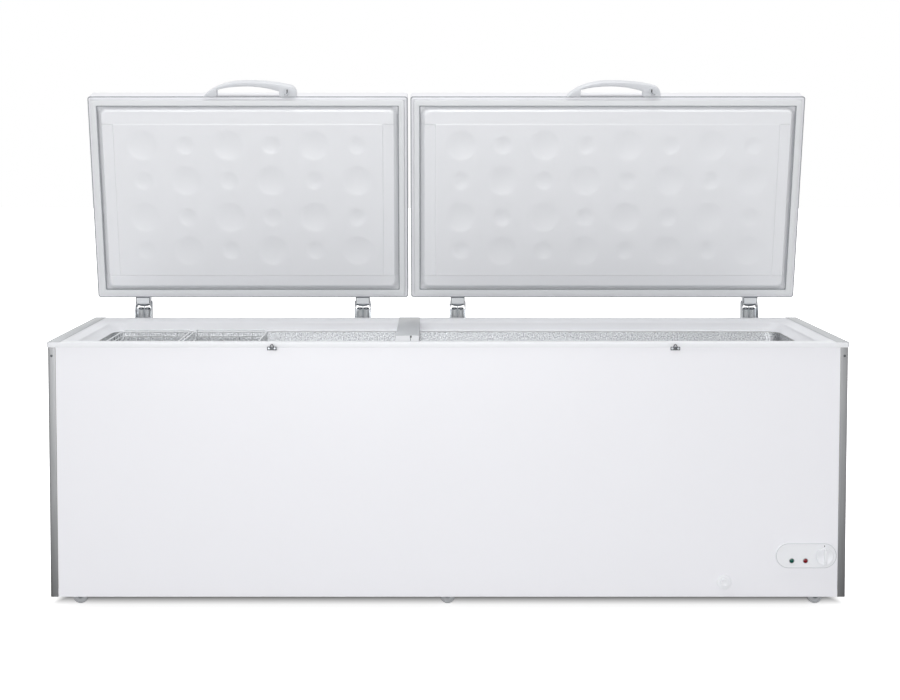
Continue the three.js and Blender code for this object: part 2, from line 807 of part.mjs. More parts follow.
const coilInset = linerOutside - seat - evaporatorTube;
const coilRect = inset(coilInset);
const coilRound = [
  [coilRect.x0, coilRect.y0],
  [coilRect.x1, coilRect.y0],
  [coilRect.x1, coilRect.y1],
  [coilRect.x0, coilRect.y1],
];
const evaporatorBottom = stepTop + evaporatorAboveStep;
const evaporatorPitch = (linerTop - evaporatorBelowTop - evaporatorBottom) / evaporatorTurns;
const coilCorners = [];
for (let i = 0; i <= evaporatorTurns * 4; i++) {
  const z = evaporatorBottom + (i * evaporatorPitch) / 4;
  coilCorners.push([...coilRound[i % 4], z]);
}
coilCorners[0][0] += evaporatorTail;
coilCorners.at(-1)[1] += evaporatorTail;
const evaporator = new Route(coilCorners, cornerAt(coilInset), 3);
place(freezer, "evaporator_coil", evaporator.tube(evaporatorTube, 6), copper);

// ---- Hinge channels on the cabinet's back ----
const channelFront = halfDepth + seat;
const channelBottom = rimHeight - channelDrop;
const earBottom = rimHeight - earDrop;
const channelBack = channelFront + channelDepth;
const channelHalf = channelWidth / 2;
const flangeHalf = channelHalf - channelSheet;
const channelSide = new THREE.Shape();
channelSide.moveTo(channelFront, channelBottom);
channelSide.lineTo(channelBack, channelBottom);
channelSide.lineTo(channelBack, pivotZ);
channelSide.absarc(pivotY, pivotZ, channelBack - pivotY, 0, (2 * Math.PI) / 3);
channelSide.lineTo(lipY + seat, pivotZ - leafBottom);
channelSide.lineTo(lipY + seat, lipBottom - 2 * seat);
channelSide.lineTo(channelFront, lipBottom - 2 * seat);
const webTop = pivotZ - leafEye - webClear;
function hingeChannel(x) {
  let shape = block(
    [x - channelHalf, x + channelHalf],
    [channelBack - channelSheet, channelBack],
    [channelBottom, webTop],
  ).add(rod([x - channelHalf, pivotY, pivotZ], [x + channelHalf, pivotY, pivotZ], pinRadius));
  for (const sign of [-1, 1]) {
    const across = [x + sign * channelHalf, x + sign * flangeHalf].sort((a, b) => a - b);
    const ear = [x + sign * flangeHalf, x + sign * (channelHalf + earWidth)];
    shape = shape.add(sideways(channelSide, across)).add(
      block(
        ear.sort((a, b) => a - b),
        [channelFront, channelFront + channelSheet],
        [earBottom, earBottom + earHeight],
      ),
    );
  }
  return shape;
}

// ---- Lids: everything on a lid is laid out closed, then swung open about its pivot ----
const leafFront = lidBack + seat;
const leafHalf = leafWidth / 2;
const leafSide = new THREE.Shape();
leafSide.moveTo(leafFront, pivotZ - leafBottom);
leafSide.lineTo(pivotY - leafEye, pivotZ - leafBottom);
leafSide.lineTo(pivotY + leafEye * Math.SQRT1_2, pivotZ - leafEye * Math.SQRT1_2);
leafSide.absarc(pivotY, pivotZ, leafEye, -Math.PI / 4, Math.PI / 2);
leafSide.lineTo(leafFront, pivotZ + leafShoulder);
function hingeLeaf(x) {
  let shape = block(
    [x - leafHalf, x + leafHalf],
    [leafFront, leafFront + channelSheet],
    [pivotZ - leafBottom, pivotZ + leafTop],
  ).add(
    block(
      [x - leafHalf, x + leafHalf],
      [leafFront, pivotY - leafEye],
      [pivotZ - leafBottom, pivotZ - leafBottom + channelSheet],
    ),
  );
  for (const sign of [-1, 1]) {
    const across = [x + sign * leafHalf, x + sign * (leafHalf - channelSheet)];
    shape = shape.add(sideways(leafSide, across.sort((a, b) => a - b)));
  }
  const pinHole = boreFor(pinRadius, runningFit);
  return shape.subtract(
    rod([x - channelHalf, pivotY, pivotZ], [x + channelHalf, pivotY, pivotZ], pinHole),
  );
}

// The rectangle inside a lid's outline, by its insets at the ends, front and rear.
const within = ([x0, x1], end, front = end, rear = end) => ({
  x0: x0 + end,
  x1: x1 - end,
  y0: lidFront + front,
  y1: lidBack - rear,
});

const lidTop = lidBottom + lidThickness;
const diagonal = 1 - Math.SQRT1_2; // where a rounded edge stands half way round
function lidShell(span) {
  const outside = (skin, bottom) =>
    stacked([
      [bottom, within(span, skin), lidCorner - skin],
      [lidTop - lidTopRound, within(span, skin), lidCorner - skin],
      [
        lidTop - skin - (lidTopRound - skin) * diagonal,
        within(span, skin + (lidTopRound - skin) * diagonal),
        lidCorner - skin,
      ],
      [lidTop - skin, within(span, lidTopRound), lidCorner - skin],
    ]);
  const mouth = stacked([
    [lidBottom - past, within(span, lidFrame), lidCorner],
    [lidBottom + lidSkin + past, within(span, lidFrame), lidCorner],
  ]);
  return outside(0, lidBottom).subtract(outside(lidSkin, lidBottom + lidSkin)).subtract(mouth);
}

const linerSeat = lidBottom + lidSkin + seat;
const plugFace = linerSeat - plugDepth;
const flatInset = plugInset + plugRun;
const plateauFace = plugFace - plateauStep;
const bands = [flatInset + plateauSide, flatInset + plateauFront, flatInset + plateauRear];
// How far the plug's sloping side moves in when its sheet is one unit thick.
const slopeShift = (Math.hypot(plugRun, plugDepth) - plugRun) / plugDepth;
function lidLiner(span) {
  const under = (t) => [
    [plateauFace + t, within(span, ...bands.map((b) => b + plateauRun + t / 2)), plugCorner],
    [plugFace + t, within(span, ...bands.map((b) => b + t / 2)), plugCorner],
    [plugFace + t, within(span, flatInset + t * slopeShift), plugCorner],
  ];
  const edge = lidSkin + seat;
  const outer = stacked([
    ...under(0),
    [linerSeat, within(span, plugInset), plugCorner],
    [linerSeat, within(span, edge), lidCorner - edge],
    [linerSeat + lidLinerSheet, within(span, edge), lidCorner - edge],
  ]);
  const t = lidLinerSheet;
  const inner = stacked([
    ...under(t),
    [linerSeat + t + past, within(span, plugInset + t * slopeShift), plugCorner],
  ]);
  return outer.subtract(inner);
}

const sealFace = stripTop + gasketSqueeze;
const gasketOut = lidFrame + gasketFit;
const gasketIn = gasketOut + gasketWidth;
function gasket(span) {
  const top = linerSeat - seat;
  const waist = sealFace + gasketTaper;
  const ring = stacked([
    [sealFace, within(span, gasketOut + gasketLip), lidCorner],
    [waist, within(span, gasketOut), lidCorner],
    [top, within(span, gasketOut), lidCorner],
  ]);
  const hole = stacked([
    [sealFace - past, within(span, gasketIn - gasketLip), lidCorner],
    [sealFace, within(span, gasketIn - gasketLip), lidCorner],
    [waist, within(span, gasketIn), lidCorner],
    [top + past, within(span, gasketIn), lidCorner],
  ]);
  return ring.subtract(hole);
}

const handleBack = lidFront - seat;
const handleZ = [lidBottom + handleLift, lidBottom + handleLift + handleHeight];
const lockTop = handleZ[1] + lockProud;
function bowHandle(x) {
  const at = (along, out) => [x + along * handleLength, handleBack - out * handleReach];
  const bowOutline = new THREE.Shape();
  bowOutline.moveTo(...at(0, 0));
  bowOutline.bezierCurveTo(...at(0.07, 0.5), ...at(0.22, 1), ...at(0.47, 1));
  bowOutline.bezierCurveTo(...at(0.66, 1), ...at(0.86, 0.86), ...at(0.95, 0.66));
  bowOutline.quadraticCurveTo(...at(1, 0.56), ...at(1, 0));
  const grip = new THREE.Path();
  grip.moveTo(...at(0.12, -0.02));
  grip.lineTo(...at(0.125, 0.27));
  grip.bezierCurveTo(...at(0.24, 0.54), ...at(0.34, 0.65), ...at(0.47, 0.65));
  grip.bezierCurveTo(...at(0.58, 0.65), ...at(0.7, 0.49), ...at(0.785, 0.26));
  grip.lineTo(...at(0.79, -0.02));
  const bow = upright(bowOutline, handleZ, 8).subtract(
    upright(new THREE.Shape(grip.getPoints(8)), [handleZ[0] - past, handleZ[1] + past]),
  );
  const lockX = x + handleLength - lockFromEnd;
  const housing = block(
    [lockX - housingBefore, lockX + housingAfter],
    [lockY - lockRing, handleBack],
    [lidBottom, lockTop],
  );
  const ring = rod([lockX, lockY, lidBottom - lockRingDrop], [lockX, lockY, lockTop], lockRing, 18);
  const bore = boreFor(lockRadius, seat);
  return bow
    .add(housing)
    .add(ring)
    .subtract(rod([lockX, lockY, 0], [lockX, lockY, far], bore));
}

const strikeBottom = rimHeight - strikeDrop;
const tongueTop = strikeBottom - tonguePlay;
function lockCylinder(x) {
  const barrelBottom = lidBottom - lockRingDrop + weld;
  const [keyWidth, keyLength, keyDepth] = keyway;
  const keySlot = block(
    [x - keyWidth / 2, x + keyWidth / 2],
    [lockY - keyLength / 2, lockY + keyLength / 2],
    [lockTop - keyDepth, lockTop + past],
  );
  const shank = [tongueTop - weld, barrelBottom + weld];
  return rod([x, lockY, barrelBottom], [x, lockY, lockTop], lockRadius)
    .subtract(keySlot)
    .add(rod([x, lockY, shank[0]], [x, lockY, shank[1]], lockShankRadius, 12))
    .add(
      block(
        [x - tongueLength / 2, x + tongueLength / 2],
        [lockY - tongueWidth / 2, lockY + tongueWidth / 2],
        [tongueTop - tongueHeight, tongueTop],
      ),
    );
}

// A strike: a plate screwed under the lip, a slotted shelf and an upright tab before it.
function lockStrike(x) {
  const half = strikeWidth / 2;
  const shelfEnd = frontFace - strikeReach;
  const shelfTop = strikeBottom + strikeSheet;
  const slotHalf = tongueLength / 2 + strikeSlotPlay;
  const plate = block(
    [x - half, x + half],
    [frontFace - strikeSheet, frontFace],
    [strikeBottom, strikeBottom + strikeHeight],
  );
  const shelf = block([x - half, x + half], [shelfEnd, frontFace], [strikeBottom, shelfTop]);
  const slot = block(
    [x - slotHalf, x + slotHalf],
    [lockY - strikeSlotDepth / 2, lockY + strikeSlotDepth / 2],
    [strikeBottom - past, shelfTop + past],
  );
  const tab = block(
    [x - strikeTabWidth / 2, x + strikeTabWidth / 2],
    [shelfEnd - strikeSheet, shelfEnd + weld / 2],
    [strikeBottom, strikeBottom + strikeTab],
  );
  return plate.add(shelf).subtract(slot).add(tab);
}

const lidSpans = {
  left: [-lipX + lidEndInset, dividerX - lidSplit / 2],
  right: [dividerX + lidSplit / 2, lipX - lidEndInset],
};
for (const [side, span] of Object.entries(lidSpans)) {
  const swing = new THREE.Group();
  swing.position.set(0, pivotY, pivotZ);
  swing.rotation.x = -THREE.MathUtils.degToRad(openAngle);
  const lid = new THREE.Group();
  lid.position.set(0, -pivotY, -pivotZ);
  swing.add(lid);
  freezer.add(swing);
  const handleX = (span[0] + span[1] - handleLength) / 2 + handleShift[side];
  const lockX = handleX + handleLength - lockFromEnd;
  place(lid, `${side}_lid_shell`, lidShell(span), whiteSteel);
  place(lid, `${side}_lid_liner`, lidLiner(span), whitePlastic);
  place(lid, `${side}_lid_gasket`, gasket(span), rubber);
  place(lid, `${side}_lid_handle`, bowHandle(handleX), whitePlastic);
  place(lid, `${side}_lock_cylinder`, lockCylinder(lockX), zincSteel);
  place(freezer, `${side}_lock_strike`, lockStrike(lockX), zincSteel);
  const hingeXs = [span[0] + hingeInsets[side][0], span[1] - hingeInsets[side][1]];
  hingeXs.forEach((x, i) => {
    const name = `${side}_lid_hinge_${i + 1}`;
    place(freezer, `${name}_channel`, hingeChannel(x), zincSteel);
    place(lid, `${name}_leaf`, hingeLeaf(x), zincSteel);
  });
}

// ---- Wire baskets hung on the rim's ledge ----
function spaced(from, to, pitch) {
  const count = Math.ceil((to - from) / pitch);
  return Array.from({ length: count + 1 }, (_, i) => from + ((to - from) * i) / count);
}
function wireBasket([left, right]) {
  const railY = lipY - basketHang;
  const wallY = lipY - basketInset;
  const rail = basketWire / 2;
  const top = ledgeTop + seat + rail;
  const bottom = top - basketHeight;
  const x0 = left + rail;
  const x1 = right - rail;
  // Each set of wires is a little thinner than the set it is welded to, and ends inside it.
  const [frame, upright, floor, hoopX, hoopY, cross, side] = [
    1, 2, 3, 4, 5, 6, 7,
  ].map((step) => rail - step * basketTaper);
  const across = (from, to, y, z, w) => block([from, to], [y - w, y + w], [z - w, z + w]);
  const along = (x, z, w, end) => block([x - w, x + w], [-end, end], [z - w, z + w]);
  const riser = (x, y, w) => block([x - w, x + w], [y - w, y + w], [bottom, top]);
  const wires = [];
  for (const y of [-railY, railY]) wires.push(across(left, right, y, top, rail));
  for (const x of [x0, x1]) wires.push(along(x, top, frame, railY));
  for (let hoop = 0; hoop < basketHoops; hoop++) {
    const z = top - (hoop * basketHeight) / basketHoops;
    for (const y of [-wallY, wallY]) wires.push(across(x0, x1, y, z, hoopX));
    if (hoop) for (const x of [x0, x1]) wires.push(along(x, z, hoopY, wallY));
  }
  for (const x of spaced(x0, x1, basketMesh)) {
    wires.push(along(x, bottom, floor, wallY));
    for (const y of [-wallY, wallY]) wires.push(riser(x, y, upright));
  }
  for (const y of spaced(-wallY, wallY, basketMesh).slice(1, -1)) {
    wires.push(across(x0, x1, y, bottom, cross));
    for (const x of [x0, x1]) wires.push(riser(x, y, side));
  }
  return wires.reduce((joined, next) => joined.add(next));
}
const leftBasketX = -lipX + linerInset + basketEndGap;
const rightBasketX = leftBasketX + leftBasketLength + basketGap;
const leftBasket = wireBasket([leftBasketX, leftBasketX + leftBasketLength]);
const rightBasket = wireBasket([rightBasketX, rightBasketX + rightBasketLength]);
place(freezer, "left_wire_basket", leftBasket, wireCoat);
place(freezer, "right_wire_basket", rightBasket, wireCoat);

// ---- Swivel casters ----
function casterFork({ x, y }) {
  const swivelX = x + casterTrail;
  const legIn = wheelWidth / 2 + forkPlay;
  const legOut = legIn + forkSheet;
  const crownTop = baseHeight - padHeight - seat;
  const leg = new THREE.Shape();
  leg.moveTo(swivelX + legOut, crownTop);
  leg.lineTo(x - legOut, crownTop);
  leg.absarc(x, wheelRadius, forkEye, Math.PI, 2 * Math.PI);
  const crown = [crownTop - forkCrown, crownTop];
  let shape = block([x - legOut, swivelX + legOut], [y - legOut, y + legOut], crown)
    .add(rod([swivelX, y, crownTop - weld], [swivelX, y, baseTop - seat], forkStem))
    .add(rod([x, y - legOut, wheelRadius], [x, y + legOut, wheelRadius], pinRadius));
  for (const [near, end] of [[-legOut, -legIn], [legIn, legOut]])
    shape = shape.add(forward(leg, [y + near, y + end], 4));
  return shape;
}
function casterWheel({ x, y }) {
  const half = wheelWidth / 2;
  const bore = boreFor(pinRadius, runningFit);
  const tread = boreFor(wheelRadius, 0, wheelSides); // so that it stands on one of its flats
  const profile = [
    [bore, -half],
    [tread - wheelEdge, -half],
    [tread, -half + wheelEdge],
    [tread, half - wheelEdge],
    [tread - wheelEdge, half],
    [bore, half],
    [bore, -half],
  ];
  const start = Math.PI / wheelSides;
  return turned(profile, [x, y, wheelRadius], [0, 1, 0], wheelSides, start);
}
for (const caster of casterPlaces) {
  place(freezer, `${caster.name}_caster_fork`, casterFork(caster), zincSteel);
  place(freezer, `${caster.name}_caster_wheel`, casterWheel(caster), greyPlastic);
}

// The origin is on the floor, under the middle of the whole freezer's outline.
const whole = new THREE.Box3().setFromObject(freezer, true);
freezer.position.y = snap(-(whole.min.y + whole.max.y) / 2);

export default freezer;
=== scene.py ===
import json
import math

import bmesh
import bpy
import numpy as np
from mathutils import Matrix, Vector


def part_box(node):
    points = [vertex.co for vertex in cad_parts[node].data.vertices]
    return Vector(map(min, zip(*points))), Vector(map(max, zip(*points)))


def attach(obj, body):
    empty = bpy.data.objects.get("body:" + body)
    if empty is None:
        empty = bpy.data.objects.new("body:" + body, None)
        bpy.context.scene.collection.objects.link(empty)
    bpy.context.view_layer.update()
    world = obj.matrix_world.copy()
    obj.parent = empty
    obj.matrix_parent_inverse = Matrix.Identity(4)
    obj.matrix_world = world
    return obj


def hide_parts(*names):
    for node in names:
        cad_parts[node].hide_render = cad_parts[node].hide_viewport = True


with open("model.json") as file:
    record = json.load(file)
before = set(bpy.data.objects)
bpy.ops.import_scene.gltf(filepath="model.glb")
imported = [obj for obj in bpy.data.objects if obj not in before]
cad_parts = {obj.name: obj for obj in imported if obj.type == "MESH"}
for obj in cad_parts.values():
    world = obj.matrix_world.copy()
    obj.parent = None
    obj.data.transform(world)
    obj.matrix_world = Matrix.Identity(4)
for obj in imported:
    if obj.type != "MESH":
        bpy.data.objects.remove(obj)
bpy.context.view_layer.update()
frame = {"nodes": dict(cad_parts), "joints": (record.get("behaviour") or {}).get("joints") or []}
MM = 0.001  # metres in a millimetre: every size below is in millimetres


def span(node):
    """Lowest and highest corner of a CAD node at rest, in millimetres."""
    low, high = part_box(node)
    return np.array(low) / MM, np.array(high) / MM


# ---- Room: camera, floor, backdrop and lamps ----
# A white cove of painted board, lit by one large soft box in front, one overhead and two behind. Its
# floor paints a soft shadow close under the cabinet, and paints shade into what metal mirrors near it.
def linear(colour):
    """An sRGB hex colour as linear red, green, blue and alpha: ((c + 0.055) / 1.055) ** 2.4."""
    channels = np.array([int(colour[i : i + 2], 16) for i in (1, 3, 5)]) / 255
    curve = np.where(channels <= 0.04045, channels / 12.92, ((channels + 0.055) / 1.055) ** 2.4)
    return (*curve.tolist(), 1.0)


def add(tree, kind, values=(), links=(), **options):
    """Adds a node: values are typed into its sockets, and links joins to them other sockets, or the
    first output of other nodes."""
    node = tree.nodes.new(kind)
    for option, value in options.items():
        setattr(node, option, value)
    for socket, value in dict(values).items():
        node.inputs[socket].default_value = value
    for socket, source in dict(links).items():
        tree.links.new(getattr(source, "outputs", [source])[0], node.inputs[socket])
    return node


def placed(name, data, place=(0, 0, 0)):
    """A new object in the scene, at a place in millimetres."""
    made = bpy.data.objects.new(name, data)
    made.location = [v * MM for v in place]
    bpy.context.scene.collection.objects.link(made)
    return made


def emptied(owner):
    """A world's or a material's node tree, with nothing in it."""
    owner.use_nodes = True
    owner.node_tree.nodes.clear()
    return owner.node_tree


CAMERA_PLACE = (-51.0, -4993.3, 1334.4)
CAMERA_DIP = 3.2  # degrees below the horizon
CAMERA_LENS, CAMERA_SHIFT = 65.17, (0.022, -0.1252)
FAR_CLIP = 200  # metres
camera = placed("camera", bpy.data.cameras.new("camera"), CAMERA_PLACE)
camera.rotation_euler = (math.radians(90 - CAMERA_DIP), 0, 0)
camera.data.lens = CAMERA_LENS
camera.data.shift_x, camera.data.shift_y = CAMERA_SHIFT
camera.data.clip_end = FAR_CLIP
bpy.context.scene.camera = camera
bpy.context.scene.view_settings.view_transform = "Standard"


def seen_or_lit(tree, lit, seen, mirrored):
    """Mixes three shaders: `lit` for the light that a surface gives the object, `seen` for rays from
    the camera or through glass, and `mirrored` for those that gloss sends on."""
    path = add(tree, "ShaderNodeLightPath").outputs
    gloss = path["Is Glossy Ray"]
    shown = add(tree, "ShaderNodeMixShader", links={0: gloss, 1: seen, 2: mirrored})
    for kind in ("Is Camera Ray", "Is Transmission Ray"):
        gloss = add(tree, "ShaderNodeMath", links={0: gloss, 1: path[kind]}, operation="MAXIMUM")
    return add(tree, "ShaderNodeMixShader", links={0: gloss, 1: lit, 2: shown})


WHITE = linear("#FFFFFF")
world = bpy.data.worlds.new("white_cove")
bpy.context.scene.world = world
tree = emptied(world)
AMBIENT, BACKDROP, MIRRORED = 0.3, 1.0, 0.9  # what lights the object, what is seen, what gloss sees
lit, seen, mirrored = (
    add(tree, "ShaderNodeBackground", {"Color": colour, "Strength": strength})
    for colour, strength in ((linear("#FAFBFD"), AMBIENT), (WHITE, BACKDROP), (WHITE, MIRRORED))
)
add(tree, "ShaderNodeOutputWorld", links={"Surface": seen_or_lit(tree, lit, seen, mirrored)})

cove_floor = bpy.data.materials.new("white_cove_floor")
tree = emptied(cove_floor)
place = add(tree, "ShaderNodeTexCoord").outputs["Object"]
part_of = add(tree, "ShaderNodeSeparateXYZ", links={0: place})
# Half width and half depth of the shade in metres, each with how many times faster it ends there.
FOOTPRINT = ((1.16, 2.2), (0.311, 1.0))
beyond = []
for axis, (half, haste) in enumerate(FOOTPRINT):
    size = add(tree, "ShaderNodeMath", links={0: part_of.outputs[axis]}, operation="ABSOLUTE")
    beyond.append(
        add(tree, "ShaderNodeMath", {1: haste, 2: -half * haste}, {0: size}, operation="MULTIPLY_ADD")
    )
outside = add(tree, "ShaderNodeMath", links={0: beyond[0], 1: beyond[1]}, operation="MAXIMUM")


def ramp(start, end):
    """A value that goes from one (metres beyond the cabinet, value) to another, level past them."""
    values = {"From Min": start[0], "From Max": end[0], "To Min": start[1], "To Max": end[1]}
    return add(tree, "ShaderNodeMapRange", values, {"Value": outside})


# So many metres beyond the cabinet's edge: the floor's glow, its grey, and what gloss sees there, each
# lowest close to the cabinet: a painted shadow under it, and painted shade in what metal mirrors.
UNDER, EDGE, CLEAR = (-0.089, 0.05), (0.0, 0.86), (1.2, 0.4)
DARKEST, PALEST = (UNDER[0], 0.45), (0.3, 1.0)
PAINTED_SHADE_IN_GLOSS = ((0.0, 0.02), (2.5, 0.8))
painted_shadow_glow = add(
    tree, "ShaderNodeMath", links={0: ramp(UNDER, EDGE), 1: ramp((EDGE[0], 0.0), CLEAR)}, operation="ADD",
)
shade = ramp(DARKEST, PALEST)
painted_shadow_grey = add(tree, "ShaderNodeCombineColor", links={0: shade, 1: shade, 2: shade})
board = add(tree, "ShaderNodeBsdfDiffuse", links={"Color": painted_shadow_grey})
glow = add(tree, "ShaderNodeEmission", {"Color": WHITE}, {"Strength": painted_shadow_glow})
seen = add(tree, "ShaderNodeAddShader", links={0: board, 1: glow})
mirrored = add(tree, "ShaderNodeEmission", {"Color": WHITE}, {"Strength": ramp(*PAINTED_SHADE_IN_GLOSS)})
lit = add(tree, "ShaderNodeBsdfDiffuse", {"Color": linear("#D8D8D8")})
add(tree, "ShaderNodeOutputMaterial", links={"Surface": seen_or_lit(tree, lit, seen, mirrored)})
FLOOR_HALF = 30.0  # metres
corners = np.array([[-1, -1, 0], [1, -1, 0], [1, 1, 0], [-1, 1, 0]]) * FLOOR_HALF
floor_mesh = bpy.data.meshes.new("cove_floor")
floor_mesh.from_pydata(corners.tolist(), [], [[0, 1, 2, 3]])
floor_mesh.materials.append(cove_floor)
placed("cove_floor", floor_mesh)

# Each box has its place, its aim, its size and its power in watts.
SOFT_BOXES = {
    "front_soft_box": ((-500, -7000, 1700), (-50, 0, 900), 3000, 218),
    "overhead_soft_box": ((-100, -900, 7000), (0, 0, 700), 3200, 215),
    "left_rear_soft_box": ((-5600, 5200, 3200), (0, 0, 600), 2600, 140),
    "right_rear_soft_box": ((5600, 5200, 3200), (0, 0, 600), 2600, 140),
}
for name, (place, aim, size, power) in SOFT_BOXES.items():
    lamp = bpy.data.lights.new(name, "AREA")
    lamp.shape = "SQUARE"
    lamp.size = size * MM
    lamp.energy = power
    box = placed(name, lamp, place)
    box.visible_glossy = "rear" not in name  # so that no lid mirrors a box as a white glare
    away = np.array(place) - np.array(aim)
    box.rotation_euler = (math.atan2(np.hypot(away[0], away[1]), away[2]), 0, math.atan2(away[0], -away[1]))

# ---- Cabinet panels ----
# The outer skin: one wide front panel, two side panels and a back panel of steel sheet, roll-formed,
# enamelled white and foamed in place. The right panel is slotted beside the compressor.


def material(name, slot, colour, roughness, metallic=0.0, **sockets):
    """A material with one Principled shader and nothing else. Its `slot` argument is not used."""
    made = bpy.data.materials.new(name)
    tree = emptied(made)
    values = {"Base Color": linear(colour), "Roughness": roughness, "Metallic": metallic, **sockets}
    shader = add(tree, "ShaderNodeBsdfPrincipled", values)
    add(tree, "ShaderNodeOutputMaterial", links={"Surface": shader})
    return made


def texture(made, kind, size, relief=None, gloss=None, tints=None, reach=None, output=0, **values):
    """Lays a pattern of about so many millimetres, or so many along each axis, over a material.
    `relief` is how deep it is embossed and how strongly, `gloss` the roughness at its lowest and
    highest, `tints` the colours there, and `reach` the part of its range that counts."""
    tree = made.node_tree
    shader = tree.nodes["Principled BSDF"]
    place, scale = add(tree, "ShaderNodeTexCoord").outputs["Object"], 1.0
    if np.ndim(size):
        stretch = {"Scale": [1 / (length * MM) for length in size]}
        place = add(tree, "ShaderNodeMapping", stretch, {"Vector": place})
    else:
        scale = 1 / (size * MM)
    pattern = add(tree, f"ShaderNodeTex{kind}", {"Scale": scale, **values}, {"Vector": place})
    pattern = pattern.outputs[output]
    if reach:
        ends = {"From Min": reach[0], "From Max": reach[1]}
        pattern = add(tree, "ShaderNodeMapRange", ends, {"Value": pattern})
    if relief:
        bump = {"Distance": relief[0] * MM, "Strength": relief[1]}
        bump = add(tree, "ShaderNodeBump", bump, {"Height": pattern})
        tree.links.new(bump.outputs[0], shader.inputs["Normal"])
    if gloss:
        ends = {"To Min": gloss[0], "To Max": gloss[1]}
        spread = add(tree, "ShaderNodeMapRange", ends, {"Value": pattern})
        tree.links.new(spread.outputs[0], shader.inputs["Roughness"])
    if tints:
        colours = {"A": linear(tints[0]), "B": linear(tints[1])}
        tint = add(tree, "ShaderNodeMix", colours, {"Factor": pattern}, data_type="RGBA")
        tree.links.new(tint.outputs["Result"], shader.inputs["Base Color"])


def dress(node, finish, smooth=None):
    """Gives a CAD node its finish."""
    mesh = frame["nodes"][node].data
    mesh.materials.clear()
    mesh.materials.append(finish)
    if smooth:
        mesh.set_sharp_from_angle(angle=math.radians(smooth))


# Stoved gloss enamel on steel: a faint waviness of about 9 mm, the orange peel of sprayed paint.
enamel = material("stoved_white_enamel", "white_enamel", "#F1F1F5", 0.3, IOR=1.5)
texture(enamel, "Noise", 9, relief=(0.05, 0.35))
texture(enamel, "Noise", 1000 / 3, gloss=(0.26, 0.36), Detail=3.0)
for node in ("front_panel", "left_side_panel", "right_side_panel", "back_panel"):
    dress(node, enamel)

# ---- Corner guards ----
# A narrow angle of brushed stainless sheet over each front edge, from the rim's lip to the bottom of
# the panels, bent with a small radius and held near its top by a dark screw.


def patch(points, wrap_rows=False, wrap_columns=False, caps=False):
    """Vertices and faces of a surface on a grid of points: each face joins four neighbours, the
    grid may close on itself either way, and caps fills its first and last row."""
    rows, columns = points.shape[:2]
    index = np.arange(rows * columns).reshape(rows, columns)
    ends = [index[0, ::-1].tolist(), index[-1].tolist()] if caps else []
    if wrap_rows:
        index = np.vstack([index, index[:1]])
    if wrap_columns:
        index = np.column_stack([index, index[:, :1]])
    quads = [index[:-1, :-1], index[:-1, 1:], index[1:, 1:], index[1:, :-1]]
    return points.reshape(-1, 3), np.stack(quads, -1).reshape(-1, 4).tolist() + ends


def solid(outlines):
    """A solid of outlines laid one on another, the first and the last filled."""
    return patch(outlines, wrap_columns=True, caps=True)


def build(name, parts, finish, body, replaced=(), sharp=40, closed=True):
    """One object from several patches: their faces are turned outwards, edges sharper than so many
    degrees stay crisp, and it rides on a body in place of CAD nodes."""
    counts = np.cumsum([0] + [len(points) for points, _ in parts])
    faces = [[v + start for v in face] for (_, some), start in zip(parts, counts) for face in some]
    mesh = bpy.data.meshes.new(name)
    mesh.from_pydata((np.vstack([points for points, _ in parts]) * MM).tolist(), [], faces)
    shell = bmesh.new()
    shell.from_mesh(mesh)
    bmesh.ops.remove_doubles(shell, verts=shell.verts, dist=0.002 * MM)
    bmesh.ops.dissolve_degenerate(shell, edges=shell.edges, dist=0.002 * MM)
    if closed:
        bmesh.ops.recalc_face_normals(shell, faces=shell.faces)
    shell.to_mesh(mesh)
    shell.free()
    mesh.shade_smooth()
    mesh.set_sharp_from_angle(angle=math.radians(sharp))
    mesh.materials.append(finish)
    made = placed(name, mesh)
    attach(made, body)
    if replaced:
        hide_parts(*replaced)
    return made


def soften(corners, cut, steps=4, closed=True):
    """Rounds an outline's corners with the curve (1-t)^2 a + 2t(1-t) corner + t^2 b, where a and b
    lie `cut` before and after the corner. An open outline keeps its two ends."""
    corners = np.asarray(corners, float)
    before, after = np.roll(corners, 1, 0) - corners, np.roll(corners, -1, 0) - corners
    cut = np.broadcast_to(np.asarray(cut, float).reshape(-1, 1), (len(corners), 1))
    start = corners + before / np.linalg.norm(before, axis=1, keepdims=True) * cut
    end = corners + after / np.linalg.norm(after, axis=1, keepdims=True) * cut
    t = np.linspace(0, 1, steps + 1)[None, :, None]
    curve = (1 - t) ** 2 * start[:, None] + 2 * t * (1 - t) * corners[:, None] + t**2 * end[:, None]
    if closed:
        return curve.reshape(-1, corners.shape[1])
    return np.vstack([corners[:1], curve[1:-1].reshape(-1, corners.shape[1]), corners[-1:]])


def points_at(x, y, z):
    """Points from their x, y and z, each spread over the whole grid."""
    return np.stack(np.broadcast_arrays(x, y, z), -1).astype(float)


def rise(outline, levels):
    """A flat outline of (x, y) repeated at each height."""
    return points_at(*np.transpose(outline), np.reshape(levels, (-1, 1)))


def turned(profile, centre, axis=(0, -1, 0), sides=32):
    """A profile of (radius, height) spun about an axis through a centre, height along the axis:
    P = centre + radius (cos a u + sin a v) + height axis."""
    profile = np.asarray(profile, float)
    axis = np.asarray(axis, float) / np.linalg.norm(axis)
    u = np.cross(axis, (1, 0, 0) if abs(axis[0]) < 0.7 else (0, 1, 0))
    u /= np.linalg.norm(u)
    v = np.cross(axis, u)
    angle = np.linspace(0, 2 * np.pi, sides, endpoint=False)
    round_axis = np.cos(angle)[:, None] * u + np.sin(angle)[:, None] * v
    points = profile[:, None, :1] * round_axis + profile[:, None, 1:] * axis + np.asarray(centre, float)
    return solid(points)


